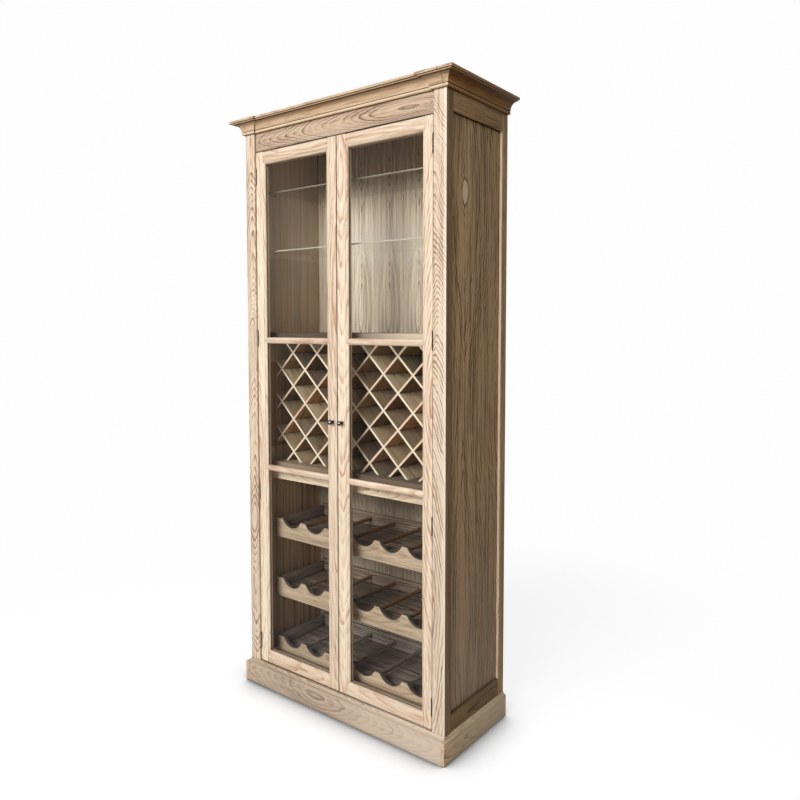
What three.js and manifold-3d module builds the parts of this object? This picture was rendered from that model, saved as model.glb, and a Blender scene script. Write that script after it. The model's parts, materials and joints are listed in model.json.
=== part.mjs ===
// Tall wine cabinet with two glazed doors. Above is a display zone with two glass shelves, in the
// middle a diamond bottle lattice, and below it three sliding trays with scalloped fronts.
// Millimetres, +Z up, front towards -Y, origin on the ground under the middle of the cabinet.
import * as THREE from "three";
import { mergeVertices } from "three/addons/utils/BufferGeometryUtils.js";
import Module from "manifold-3d";

const wasm = await Module();
wasm.setup();

// Overall sizes, the gap that touching pieces keep, and how far a cutter runs past its piece
const overallWidth = 1100;
const overallDepth = 450;
const overallHeight = 2350;
const fitGap = 0.3;
const cutOverrun = 30;

// Carcass: four corner posts, framed sides, lined inside
const corniceSideReach = 50;
const corniceFrontReach = 45.8;
const corniceHeight = 55;
const friezeHeight = 75;
const postWidth = 52.4;
const postDepth = 39;
const postProud = 6.6;
const topThickness = 18;
const backThickness = 8;
const backInset = 26;
const liningThickness = 18;
const friezeThickness = 22;

const bodyHalf = overallWidth / 2 - corniceSideReach;
const openingHalf = bodyHalf - postWidth;
const rearY = overallDepth / 2;
const postFrontY = -overallDepth / 2 + corniceFrontReach;
const frontY = postFrontY + postProud;
const postBackY = postFrontY + postDepth;
const rearPostY = rearY - postDepth;
const corniceZ = overallHeight - corniceHeight;
const friezeZ = corniceZ - friezeHeight;
const carcassTopZ = overallHeight - topThickness;
const backY = rearY - backInset - backThickness;
const insideHalf = openingHalf - fitGap;

// Cornice profile, as shares of its side reach and of its height
const corniceJointInset = 8;
const filletShares = [
  [1, 1],
  [1, 0.83],
  [0.84, 0.83],
  [0.84, 0.77],
  [0.76, 0.77],
];
const coveFootShares = [0.24, 0.26];
const rollTopShares = [0.12, 0.22];

// Plinth: boards round the foot of the posts, with a small moulding along their top
const plinthHeight = 93.6;
const plinthFaceHeight = 80;
const plinthSideReach = 12.7;
const plinthFrontReach = 21.3;
const plinthStep = 2;
const plinthLip = 1.5;
const plinthJointInset = 1;
const plinthBackThickness = 18;
const plinthBackInset = 1;

// Side frames: rails and a thin panel held in a groove
const sideRailThickness = 22;
const sideTopRailDrop = 66;
const sideBottomRailRise = 63;
const sideRailFootZ = 20;
const panelThickness = 8;
const panelRecess = 11;
const panelEngage = 6;
const panelGroove = panelThickness + 2 * fitGap;

// Floor and dividers. Insets are measured back from the inner face of the shut doors.
const doorThickness = 22;
const doorBackY = frontY + doorThickness;
const shelfThickness = 25;
const floorRise = 26.4;
const floorThickness = 22;
const floorInset = 31.6;
const dividerInset = 45.6;
const latticeHeight = 519;
const trayHeadroom = 50.9;
const apronHeight = 46.7;
const apronThickness = 18;

// Trays: scalloped front, sides, back and bottom, with a rod under each peak
const trayInset = 50.6;
const traySideSpace = 23.6;
const trayFrontThickness = 18;
const traySideThickness = 12;
const trayBackThickness = 12;
const trayBackGap = 1.5;
const trayCount = 3;
const trayPitch = 256.7;
const lowestValleyRise = 30.4;
const scallopsPerTray = 6;
const scallopFlat = 25;
const scallopEndFlat = 39.3;
const scallopDepth = 33.5;
const scallopCorner = 1.5;
const trayFrontDrop = 46.3;
const trayBackRise = 41.5;
const trayBottomDrop = 13.5;
const trayBottomThickness = 9;
const trayRodRise = 15.5;
const trayRodRadius = 7.5;
const trayFloorGap = 1;
const runnerInset = 7;
const runnerHeight = 14;
const runnerGap = 0.4;
const runnerOverlap = 10;

const floorTopZ = plinthHeight + floorRise;
const lowestValleyZ = floorTopZ + lowestValleyRise;
const rackTopZ = floorTopZ + trayCount * trayPitch + trayHeadroom;
const displayFloorTopZ = rackTopZ + latticeHeight + shelfThickness;
const floorFrontY = doorBackY + floorInset;
const dividerFrontY = doorBackY + dividerInset;
const trayFrontY = doorBackY + trayInset;
const trayHalf = openingHalf - traySideSpace;
const scallopPitch = (2 * trayHalf + scallopFlat - 2 * scallopEndFlat) / scallopsPerTray;
const scallopHalf = (scallopPitch - scallopFlat) / 2;
const runnerFrontY = trayFrontY + trayFrontThickness + runnerInset;

// Glass shelves: their heights are shares of the display zone
const glassShelfThickness = 6;
const glassShelfInset = 40.6;
const glassShelfShares = [0.464, 0.792];
const glassShelfSideGap = 1;
const shelfPinRadius = 2.5;
const shelfPinReach = 9;
const shelfPinInset = 40;
const glassShelfFrontY = doorBackY + glassShelfInset;
const displayHeight = friezeZ - displayFloorTopZ;
const glassShelfTops = glassShelfShares.map((share) => displayFloorTopZ + share * displayHeight);

// Lattice of boards crossing at 45 degrees, with one crossing on the middle line
const latticeInset = 83.6;
const latticeHalfPitch = 69.7;
const latticeCrossingRise = 251;
const latticeBoard = 8.5;
const latticeFrontY = doorBackY + latticeInset;
const latticeCrossingZ = rackTopZ + latticeCrossingRise;

// Doors: stiles and rails with a moulding down to one sheet of glass, and two bars across it
const doorSideGap = 1.5;
const doorTopGap = 1.5;
const doorBottomGap = 2.5;
const doorMeetingGap = 2;
const hingeStileWidth = 51.2;
const lockStileWidth = 54.4;
const doorRailWidth = 52;
const mouldingWidth = 10.7;
const mouldingQuirk = 1.2;
const mouldingDrop = 8;
const glassSet = 9;
const paneThickness = 4;
const paneEngage = 6;
const grooveDepth = 7;
const barWidth = 26;
const lowerBarDrop = 14.8;
const upperBarDrop = 31.1;
const barQuirkHalf = 2.3;
const barTipInset = 0.4;
const barHeights = [rackTopZ - lowerBarDrop, displayFloorTopZ - upperBarDrop];

// Hinges: a barrel in the corner between the door's face and the post, and a leaf in the gap
const hingeLength = 63;
const hingeRadius = 3.2;
const hingeLeafThickness = 0.8;
const hingeLeafDepth = 18;
const hingeFaceGap = 0.5;
const hingeTopInset = 95;
const hingeBottomInset = 85;
const hingeHeightShares = [1, 0.66, 0.33, 0];

// Knobs
const knobInset = 24;
const knobHeightShare = 0.418;
const knobRadius = 9.3;
const knobStemRadius = 4;
const knobRoseRadius = 7;
const knobRoseThickness = 3;
const knobReach = 27;
const knobZ = barHeights[0] + knobHeightShare * (barHeights[1] - barHeights[0]);

// Smoothness of the round shapes, in segments
const arcSteps = 5;
const scallopSteps = 10;
const roundSides = 12;
const knobSides = 24;
const weldDistance = 1e-4;

// Materials
function finish(color, roughness, metalness = 0) {
  return new THREE.MeshStandardMaterial({ color, roughness, metalness });
}

const limedWood = finish(0xdcc3a2, 0.62);
const sideWood = finish(0xb79b78, 0.65);
const insideWood = finish(0x8f7c63, 0.7);
const trayWood = finish(0xcbb493, 0.66);
const trayBoxWood = finish(0x6f6358, 0.7);
const darkMetal = finish(0x17130f, 0.35, 0.85);
const clearGlass = finish(0xdfe8e6, 0.05);
clearGlass.transparent = true;
clearGlass.opacity = 0.3;

// Shape helpers
function range(low, high) {
  return [low, high];
}

function boxGeometry([x0, x1], [y0, y1], [z0, z1]) {
  const geometry = new THREE.BoxGeometry(x1 - x0, y1 - y0, z1 - z0);
  geometry.translate((x0 + x1) / 2, (y0 + y1) / 2, (z0 + z1) / 2);
  return geometry;
}

function outline(points) {
  return new THREE.Shape(points.map(([a, b]) => new THREE.Vector2(a, b)));
}

function extruded(shape, length) {
  const options = { depth: length, bevelEnabled: false, curveSegments: scallopSteps };
  return new THREE.ExtrudeGeometry(shape, options);
}

// Outline in x and y, raised from z0 to z1
function alongZ(shape, [z0, z1]) {
  return extruded(shape, z1 - z0).translate(0, 0, z0);
}

// Outline in x and z, run from y0 to y1
function alongY(shape, [y0, y1]) {
  return extruded(shape, y1 - y0).rotateX(Math.PI / 2).translate(0, y1, 0);
}

// Outline in y and z, run from x0 to x1
function alongX(shape, [x0, x1]) {
  return extruded(shape, x1 - x0).rotateY(Math.PI / 2).rotateX(Math.PI / 2).translate(x0, 0, 0);
}

// Solids for joining and cutting
function solid(geometry) {
  const bare = geometry.clone();
  bare.deleteAttribute("normal");
  bare.deleteAttribute("uv");
  const merged = mergeVertices(bare, weldDistance);
  return new wasm.Manifold(
    new wasm.Mesh({
      numProp: 3,
      vertProperties: new Float32Array(merged.attributes.position.array),
      triVerts: new Uint32Array(merged.index.array),
    }),
  );
}

function geometryOf(manifold) {
  const { vertProperties, triVerts } = manifold.getMesh();
  const geometry = new THREE.BufferGeometry();
  geometry.setAttribute("position", new THREE.BufferAttribute(new Float32Array(vertProperties), 3));
  geometry.setIndex(new THREE.BufferAttribute(new Uint32Array(triVerts), 1));
  const flat = geometry.toNonIndexed();
  flat.computeVertexNormals();
  return flat;
}

function joined(geometries) {
  return geometryOf(geometries.map(solid).reduce((whole, piece) => whole.add(piece)));
}

function cut(geometry, cutters) {
  const left = cutters.map(solid).reduce((whole, cutter) => whole.subtract(cutter), solid(geometry));
  return geometryOf(left);
}

// The scene graph: one group for what stands in the middle, and one for each side
const cabinet = new THREE.Group();
cabinet.name = "wine_cabinet";
const sides = { left: new THREE.Group(), right: new THREE.Group() };
sides.left.scale.x = -1;
cabinet.add(sides.left, sides.right);

function place(parent, name, geometry, material) {
  const mesh = new THREE.Mesh(geometry, material);
  mesh.name = name;
  parent.add(mesh);
  return mesh;
}

// The same piece on the right and, mirrored, on the left
function placePair(nameOf, geometry, material) {
  for (const side of ["left", "right"]) {
    place(sides[side], nameOf(side), geometry, material);
  }
}

// A moulding swept round corners. Each profile point is [reach, z], and planAt(reach) gives the
// plan points of the path at that reach, so corners come out mitred.
function moulding(profile, planAt) {
  const section = profile.map(([reach, z]) => new THREE.Vector2(reach, z));
  if (THREE.ShapeUtils.isClockWise(section)) section.reverse();
  const plans = section.map((point) => planAt(point.x));
  const stations = plans[0].length;
  const count = section.length;
  const positions = [];
  for (let s = 0; s < stations; s += 1) {
    section.forEach((point, i) => positions.push(...plans[i][s], point.y));
  }
  const index = [];
  for (let s = 0; s + 1 < stations; s += 1) {
    for (let i = 0; i < count; i += 1) {
      const next = (i + 1) % count;
      const [near, far] = [s * count, (s + 1) * count];
      index.push(near + i, far + next, near + next, near + i, far + i, far + next);
    }
  }
  const last = (stations - 1) * count;
  for (const [a, b, c] of THREE.ShapeUtils.triangulateShape(section, [])) {
    index.push(a, b, c, last + a, last + c, last + b);
  }
  const geometry = new THREE.BufferGeometry();
  geometry.setAttribute("position", new THREE.Float32BufferAttribute(positions, 3));
  geometry.setIndex(index);
  return geometry;
}

// Points on an arc about [a, b], from one angle to another in degrees
function arc([a, b], radiusA, radiusB, from, to, steps) {
  return Array.from({ length: steps + 1 }, (_, i) => {
    const angle = THREE.MathUtils.degToRad(from + ((to - from) * i) / steps);
    return [a + radiusA * Math.cos(angle), b + radiusB * Math.sin(angle)];
  });
}

// Plinth
function plinthProfile() {
  const shoulder = 1 - plinthStep / plinthFrontReach;
  const lip = plinthLip / plinthFrontReach;
  const gap = fitGap / plinthSideReach;
  const rise = plinthHeight - plinthFaceHeight - plinthStep;
  return [
    [gap, 0],
    [1, 0],
    [1, plinthFaceHeight],
    ...arc([shoulder, plinthHeight], shoulder - lip, rise, 270, 180, arcSteps),
    [gap, plinthHeight],
  ];
}

function addPlinth() {
  const jointX = bodyHalf - plinthJointInset;
  const front = (share) => postFrontY - share * plinthFrontReach;
  const side = (share) => bodyHalf + share * plinthSideReach;
  const facing = moulding(plinthProfile(), (share) => [
    [-jointX + fitGap, front(share)],
    [jointX - fitGap, front(share)],
  ]);
  const rail = boxGeometry(
    range(-insideHalf, insideHalf),
    range(postFrontY - 2 * fitGap, doorBackY),
    range(0, plinthHeight),
  );
  place(cabinet, "plinth_front", joined([facing, rail]), limedWood);
  const returned = moulding(plinthProfile(), (share) => [
    [jointX, front(share)],
    [side(share), front(share)],
    [side(share), rearY],
  ]);
  placePair((hand) => `plinth_${hand}`, returned, sideWood);
  const back = boxGeometry(
    range(-insideHalf, insideHalf),
    range(rearY - plinthBackInset - plinthBackThickness, rearY - plinthBackInset),
    range(0, plinthHeight),
  );
  place(cabinet, "plinth_back", back, insideWood);
}

// Posts, and the framed sides between them
function panelSlot([y0, y1], [z0, z1]) {
  const outer = bodyHalf - panelRecess + fitGap;
  return boxGeometry(range(outer - panelGroove, outer), range(y0, y1), range(z0, z1));
}

function addSides() {
  const slot = panelEngage + fitGap;
  const topRailZ = corniceZ - sideTopRailDrop;
  const bottomRailTopZ = plinthHeight + sideBottomRailRise;
  const slotZ = range(bottomRailTopZ - slot, topRailZ + slot);
  const postX = range(openingHalf, bodyHalf);
  const postZ = range(0, carcassTopZ - fitGap);
  const frontPost = cut(boxGeometry(postX, range(postFrontY, postBackY), postZ), [
    panelSlot(range(postBackY - slot, postBackY + cutOverrun), slotZ),
  ]);
  const rearPost = cut(boxGeometry(postX, range(rearPostY, rearY), postZ), [
    panelSlot(range(rearPostY - cutOverrun, rearPostY + slot), slotZ),
  ]);
  placePair((hand) => `front_post_${hand}`, frontPost, limedWood);
  placePair((hand) => `rear_post_${hand}`, rearPost, sideWood);

  const railX = range(bodyHalf - sideRailThickness, bodyHalf);
  const railY = range(postBackY + fitGap, rearPostY - fitGap);
  const slotY = range(postBackY - cutOverrun, rearPostY + cutOverrun);
  const topRail = cut(boxGeometry(railX, railY, range(topRailZ, carcassTopZ - fitGap)), [
    panelSlot(slotY, range(topRailZ - cutOverrun, topRailZ + slot)),
  ]);
  const bottomRail = cut(boxGeometry(railX, railY, range(sideRailFootZ, bottomRailTopZ)), [
    panelSlot(slotY, range(bottomRailTopZ - slot, bottomRailTopZ + cutOverrun)),
  ]);
  placePair((hand) => `side_top_rail_${hand}`, topRail, sideWood);
  placePair((hand) => `side_bottom_rail_${hand}`, bottomRail, sideWood);

  const panel = boxGeometry(
    range(bodyHalf - panelRecess - panelThickness, bodyHalf - panelRecess),
    range(postBackY - panelEngage, rearPostY + panelEngage),
    range(bottomRailTopZ - panelEngage, topRailZ + panelEngage),
  );
  placePair((hand) => `side_panel_${hand}`, panel, sideWood);
}

// Tray places, from the lowest tray up
function trayValleyZ(level) {
  return lowestValleyZ + level * trayPitch;
}

function trayBaseZ(level) {
  return Math.max(trayValleyZ(level) - trayFrontDrop, floorTopZ + trayFloorGap);
}

function trayBoxBaseZ(level) {
  return trayValleyZ(level) - trayBottomDrop - trayBottomThickness;
}

// Inside lining, which carries the tray runners and the pins under the glass shelves
function addLining() {
  const board = boxGeometry(
    range(openingHalf, openingHalf + liningThickness),
    range(postBackY + fitGap, rearPostY - fitGap),
    range(sideRailFootZ, carcassTopZ - fitGap),
  );
  const pieces = [board];
  for (let level = 0; level < trayCount; level += 1) {
    const top = trayBoxBaseZ(level) - runnerGap;
    const foot = Math.max(top - runnerHeight, floorTopZ + fitGap);
    if (top - foot > fitGap) {
      pieces.push(
        boxGeometry(
          range(trayHalf - runnerOverlap, openingHalf + liningThickness / 2),
          range(runnerFrontY, rearPostY - shelfPinInset),
          range(foot, top),
        ),
      );
    }
  }
  for (const shelfTop of glassShelfTops) {
    for (const pinY of [glassShelfFrontY + shelfPinInset, backY - shelfPinInset]) {
      const pinZ = shelfTop - glassShelfThickness - fitGap - shelfPinRadius;
      const length = shelfPinReach + liningThickness / 2;
      const pin = new THREE.CylinderGeometry(shelfPinRadius, shelfPinRadius, length, roundSides);
      pin.rotateZ(Math.PI / 2).translate(openingHalf - shelfPinReach + length / 2, pinY, pinZ);
      pieces.push(pin);
    }
  }
  placePair((hand) => `inner_side_${hand}`, joined(pieces), insideWood);
}

// Floor, dividers, back, frieze and top
function addShell() {
  const across = range(-insideHalf, insideHalf);
  const backGapY = backY - fitGap;
  const board = (front, top, thickness) =>
    boxGeometry(across, range(front, backGapY), range(top - thickness, top));
  place(cabinet, "floor_board", board(floorFrontY, floorTopZ, floorThickness), insideWood);
  place(cabinet, "display_floor", board(dividerFrontY, displayFloorTopZ, shelfThickness), insideWood);
  place(cabinet, "rack_top", board(dividerFrontY, rackTopZ, shelfThickness), insideWood);
  const apronTop = rackTopZ - shelfThickness - fitGap;
  const apron = boxGeometry(
    across,
    range(dividerFrontY, dividerFrontY + apronThickness),
    range(apronTop - apronHeight, apronTop),
  );
  place(cabinet, "rack_apron", apron, limedWood);
  const underTop = carcassTopZ - fitGap;
  const back = boxGeometry(across, range(backY, backY + backThickness), range(sideRailFootZ, underTop));
  place(cabinet, "back_panel", back, insideWood);
  const frieze = boxGeometry(across, range(frontY, frontY + friezeThickness), range(friezeZ, underTop));
  place(cabinet, "frieze_rail", frieze, limedWood);
  const topEdge = [
    [-bodyHalf, rearY],
    [-bodyHalf, postFrontY],
    [-openingHalf, postFrontY],
    [-openingHalf, frontY],
    [openingHalf, frontY],
    [openingHalf, postFrontY],
    [bodyHalf, postFrontY],
    [bodyHalf, rearY],
  ];
  place(cabinet, "top_board", alongZ(outline(topEdge), range(carcassTopZ, overallHeight)), insideWood);
}

function addGlassShelves() {
  const half = openingHalf - glassShelfSideGap;
  const names = ["lower", "upper"];
  glassShelfTops.forEach((top, i) => {
    const shelf = boxGeometry(
      range(-half, half),
      range(glassShelfFrontY, backY - glassShelfSideGap),
      range(top - glassShelfThickness, top),
    );
    place(cabinet, `glass_shelf_${names[i]}`, shelf, clearGlass);
  });
}

// Cornice: a fillet, a bead, a cove and a roll, broken forward over each post
function corniceProfile() {
  const at = ([reachShare, heightShare]) => [
    reachShare * corniceSideReach,
    corniceZ + heightShare * corniceHeight,
  ];
  const [coveTopX, coveTopZ] = at(filletShares.at(-1));
  const [coveFootX, coveFootZ] = at(coveFootShares);
  const [rollX, rollTopZ] = at(rollTopShares);
  const rollHalf = (rollTopZ - corniceZ) / 2;
  const cove = arc([coveTopX, coveFootZ], coveTopX - coveFootX, coveTopZ - coveFootZ, 90, 180, arcSteps);
  return [
    [fitGap, overallHeight],
    ...filletShares.map(at),
    ...cove.slice(1),
    [coveFootX, rollTopZ],
    ...arc([rollX, corniceZ + rollHalf], rollHalf, rollHalf, 90, -90, arcSteps),
    [fitGap, corniceZ],
  ];
}

function addCornice() {
  const slope = corniceFrontReach / corniceSideReach;
  const jointX = bodyHalf - corniceJointInset;
  const front = moulding(corniceProfile(), (reach) => {
    const breakX = openingHalf - reach;
    const overPost = postFrontY - reach * slope;
    const between = frontY - reach * slope;
    return [
      [-jointX + fitGap, overPost],
      [-breakX, overPost],
      [-breakX, between],
      [breakX, between],
      [breakX, overPost],
      [jointX - fitGap, overPost],
    ];
  });
  place(cabinet, "cornice_front", front, limedWood);
  const returned = moulding(corniceProfile(), (reach) => [
    [jointX, postFrontY - reach * slope],
    [bodyHalf + reach, postFrontY - reach * slope],
    [bodyHalf + reach, rearY],
  ]);
  placePair((hand) => `cornice_${hand}`, returned, sideWood);
}

// Lattice: every board that crosses the space between the dividers
function addLattice() {
  const low = rackTopZ + fitGap;
  const high = displayFloorTopZ - shelfThickness - fitGap;
  const depth = backY - fitGap - latticeFrontY;
  const midY = latticeFrontY + depth / 2;
  const reach = Math.hypot(overallWidth, overallHeight);
  const pitch = 2 * latticeHalfPitch;
  const steps = Math.ceil((openingHalf + high - low) / pitch);
  const boards = [];
  for (const lean of [1, -1]) {
    for (let i = -steps; i <= steps; i += 1) {
      const board = new THREE.BoxGeometry(reach, depth, latticeBoard);
      board.rotateY((lean * Math.PI) / 4).translate(0, midY, latticeCrossingZ + i * pitch);
      boards.push(solid(board));
    }
  }
  const space = boxGeometry(range(-insideHalf, insideHalf), range(latticeFrontY, backY), range(low, high));
  const whole = boards.reduce((sum, board) => sum.add(board)).intersect(solid(space));
  const biggest = whole.decompose().sort((a, b) => b.volume() - a.volume())[0];
  place(cabinet, "wine_lattice", geometryOf(biggest), trayWood);
}

// Trays
function scallopOutline(level) {
  const peakZ = trayValleyZ(level) + scallopDepth;
  const radius = (scallopHalf ** 2 + scallopDepth ** 2) / (2 * scallopDepth);
  const centreZ = trayValleyZ(level) + radius;
  const soft = Math.asin(scallopHalf / radius) - scallopCorner / radius;
  const shape = new THREE.Shape();
  shape.moveTo(-trayHalf, trayBaseZ(level));
  shape.lineTo(trayHalf, trayBaseZ(level));
  shape.lineTo(trayHalf, peakZ);
  for (let i = scallopsPerTray - 1; i >= 0; i -= 1) {
    const centre = (i - (scallopsPerTray - 1) / 2) * scallopPitch;
    shape.lineTo(centre + scallopHalf + scallopCorner, peakZ);
    shape.absarc(centre, centreZ, radius, soft - Math.PI / 2, -Math.PI / 2 - soft, true);
    shape.lineTo(centre - scallopHalf - scallopCorner, peakZ);
  }
  shape.lineTo(-trayHalf, peakZ);
  return shape;
}

function addTray(level) {
  const tray = new THREE.Group();
  cabinet.add(tray);
  const number = trayCount - level;
  const frontBackY = trayFrontY + trayFrontThickness;
  const front = alongY(scallopOutline(level), range(trayFrontY, frontBackY));
  place(tray, `tray_${number}_front`, front, trayWood);

  const valley = trayValleyZ(level);
  const base = trayBoxBaseZ(level);
  const backFaceY = backY - trayBackGap - trayBackThickness;
  const innerHalf = trayHalf - traySideThickness;
  const startY = frontBackY + fitGap;
  const sideZ = range(base, valley + scallopDepth - scallopCorner);
  const pieces = [
    boxGeometry(
      range(-trayHalf, trayHalf),
      range(backFaceY, backY - trayBackGap),
      range(base, valley + trayBackRise),
    ),
    boxGeometry(range(-trayHalf, -innerHalf), range(startY, backFaceY + fitGap), sideZ),
    boxGeometry(range(innerHalf, trayHalf), range(startY, backFaceY + fitGap), sideZ),
    boxGeometry(
      range(-innerHalf - fitGap, innerHalf + fitGap),
      range(startY, backFaceY + fitGap),
      range(base, base + trayBottomThickness),
    ),
  ];
  const rodLength = backFaceY + trayBackThickness / 2 - startY;
  for (let i = 1; i < scallopsPerTray; i += 1) {
    const rod = new THREE.CylinderGeometry(trayRodRadius, trayRodRadius, rodLength, roundSides);
    const rodX = (i - scallopsPerTray / 2) * scallopPitch;
    rod.translate(rodX, startY + rodLength / 2, valley + trayRodRise);
    pieces.push(rod);
  }
  place(tray, `tray_${number}_box`, joined(pieces), trayBoxWood);
}

// Doors, built on the right side and mirrored for the left
const doorTopZ = friezeZ - doorTopGap;
const doorBottomZ = plinthHeight + doorBottomGap;
const doorOuterX = openingHalf - doorSideGap;
const doorInnerX = doorMeetingGap / 2;
const glassOuterX = doorOuterX - hingeStileWidth;
const glassInnerX = doorInnerX + lockStileWidth;
const glassTopZ = doorTopZ - doorRailWidth;
const glassBottomZ = doorBottomZ + doorRailWidth;

// Section of a stile or rail: across it from the outer edge, and back from the face
function frameSection(width) {
  const flat = width - mouldingWidth;
  const slotFront = glassSet;
  const slotBack = glassSet + paneThickness + 2 * fitGap;
  return [
    [0, 0],
    [flat, 0],
    ...arc([flat, mouldingDrop], mouldingWidth, mouldingDrop - mouldingQuirk, -90, 0, arcSteps),
    [width, slotFront],
    [width - grooveDepth, slotFront],
    [width - grooveDepth, slotBack],
    [width, slotBack],
    [width, doorThickness],
    [0, doorThickness],
  ];
}

// What the rails and bars take out of a stile's moulding. Every cut starts a little inside the
// flat part, then runs at 45 degrees towards the glass.
function stileCutters(edgeX, direction) {
  const slant = mouldingWidth + cutOverrun;
  const startX = edgeX - direction * fitGap;
  const glassX = startX + direction * slant;
  const wedge = (glassZ, up, endZ) => {
    const startZ = glassZ + up * (mouldingWidth - fitGap / 2);
    return alongY(
      outline([
        [startX, startZ],
        [glassX, startZ - up * slant],
        [glassX, endZ],
        [startX, endZ],
      ]),
      range(frontY - cutOverrun, doorBackY + cutOverrun),
    );
  };
  const notch = (centreZ) =>
    alongY(
      outline([
        [startX, centreZ - barQuirkHalf],
        [glassX, centreZ - barQuirkHalf - slant],
        [glassX, centreZ + barQuirkHalf + slant],
        [startX, centreZ + barQuirkHalf],
      ]),
      range(frontY - cutOverrun, frontY + glassSet + fitGap),
    );
  return [
    wedge(glassTopZ, 1, doorTopZ + cutOverrun),
    wedge(glassBottomZ, -1, doorBottomZ - cutOverrun),
    ...barHeights.map(notch),
  ];
}

function stile(outerX, width, direction) {
  const at = ([across, back]) => [outerX + direction * across, frontY + back];
  const body = alongZ(outline(frameSection(width).map(at)), range(doorBottomZ, doorTopZ));
  return cut(body, stileCutters(outerX + direction * (width - mouldingWidth), direction));
}

function railEnds(glassZ, outerZ) {
  const up = Math.sign(outerZ - glassZ);
  const flatZ = glassZ + up * mouldingWidth;
  const leftX = glassInnerX - mouldingWidth;
  const rightX = glassOuterX + mouldingWidth;
  return alongY(
    outline([
      [leftX, flatZ],
      [leftX + mouldingWidth, glassZ],
      [rightX - mouldingWidth, glassZ],
      [rightX, flatZ],
      [rightX, outerZ],
      [leftX, outerZ],
    ]),
    range(frontY - cutOverrun, doorBackY + cutOverrun),
  );
}

function rail(glassZ, outerZ) {
  const down = Math.sign(glassZ - outerZ);
  const at = ([across, back]) => [frontY + back, outerZ + down * across];
  const section = outline(frameSection(doorRailWidth).map(at));
  const body = alongX(section, range(glassInnerX - cutOverrun, glassOuterX + cutOverrun));
  return geometryOf(solid(body).intersect(solid(railEnds(glassZ, outerZ))));
}

function bar(centreZ) {
  const half = barWidth / 2;
  const tip = half - barTipInset;
  const seatY = frontY + glassSet - fitGap;
  const section = [
    [seatY, centreZ + tip],
    ...arc([frontY + mouldingDrop, centreZ], mouldingDrop, tip, 90, 270, 2 * arcSteps),
    [seatY, centreZ - tip],
  ];
  const leftX = glassInnerX - mouldingWidth;
  const rightX = glassOuterX + mouldingWidth;
  const body = alongX(outline(section), range(leftX - cutOverrun, rightX + cutOverrun));
  const slant = half - barQuirkHalf;
  const ends = alongY(
    outline([
      [leftX, centreZ - barQuirkHalf],
      [leftX + slant, centreZ - half],
      [rightX - slant, centreZ - half],
      [rightX, centreZ - barQuirkHalf],
      [rightX, centreZ + barQuirkHalf],
      [rightX - slant, centreZ + half],
      [leftX + slant, centreZ + half],
      [leftX, centreZ + barQuirkHalf],
    ]),
    range(frontY - cutOverrun, frontY + glassSet),
  );
  return geometryOf(solid(body).intersect(solid(ends)));
}

function knob() {
  const roseY = frontY - fitGap;
  const centre = knobReach - knobRadius;
  const lift = Math.sqrt(knobRadius ** 2 - knobStemRadius ** 2);
  const start = THREE.MathUtils.radToDeg(Math.atan2(-lift, knobStemRadius));
  const ball = arc([0, centre], knobRadius, knobRadius, start, 90, knobSides / 2).slice(0, -1);
  const profile = [
    [0, 0],
    [knobRoseRadius, 0],
    [knobRoseRadius, knobRoseThickness / 2],
    [knobStemRadius, knobRoseThickness],
    ...ball,
    [0, knobReach],
  ];
  const geometry = new THREE.LatheGeometry(profile.map(([r, h]) => new THREE.Vector2(r, h)), knobSides);
  return geometryOf(solid(geometry.rotateX(Math.PI).translate(knobInset, roseY, knobZ)));
}

function addDoors() {
  const pane = boxGeometry(
    range(glassInnerX - paneEngage, glassOuterX + paneEngage),
    range(frontY + glassSet + fitGap, frontY + glassSet + fitGap + paneThickness),
    range(glassBottomZ - paneEngage, glassTopZ + paneEngage),
  );
  const pieces = {
    hinge_stile: [stile(doorOuterX, hingeStileWidth, -1), limedWood],
    lock_stile: [stile(doorInnerX, lockStileWidth, 1), limedWood],
    top_rail: [rail(glassTopZ, doorTopZ), limedWood],
    bottom_rail: [rail(glassBottomZ, doorBottomZ), limedWood],
    lower_bar: [bar(barHeights[0]), limedWood],
    upper_bar: [bar(barHeights[1]), limedWood],
    glass: [pane, clearGlass],
    knob: [knob(), darkMetal],
  };
  for (const [name, [geometry, material]] of Object.entries(pieces)) {
    placePair((hand) => `${hand}_door_${name}`, geometry, material);
  }
}

function hinge(centreZ) {
  const barrelX = openingHalf - hingeRadius - fitGap;
  const barrelY = frontY - hingeFaceGap - hingeRadius;
  const barrel = new THREE.CylinderGeometry(hingeRadius, hingeRadius, hingeLength, roundSides);
  barrel.rotateX(Math.PI / 2).translate(barrelX, barrelY, centreZ);
  const leaf = boxGeometry(
    range(openingHalf - fitGap - hingeLeafThickness, openingHalf - fitGap),
    range(barrelY, barrelY + hingeLeafDepth),
    range(centreZ - hingeLength / 2, centreZ + hingeLength / 2),
  );
  return joined([barrel, leaf]);
}

function addHinges() {
  const low = doorBottomZ + hingeBottomInset;
  const high = doorTopZ - hingeTopInset;
  hingeHeightShares.forEach((share, i) => {
    placePair((hand) => `${hand}_hinge_${i + 1}`, hinge(low + share * (high - low)), darkMetal);
  });
}

addPlinth();
addSides();
addLining();
addShell();
addGlassShelves();
addCornice();
addLattice();
for (let level = 0; level < trayCount; level += 1) {
  addTray(level);
}
addDoors();
addHinges();

export default cabinet;
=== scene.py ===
import json
import math

import bmesh
import bpy
from mathutils import Euler, Matrix, Vector


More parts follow.
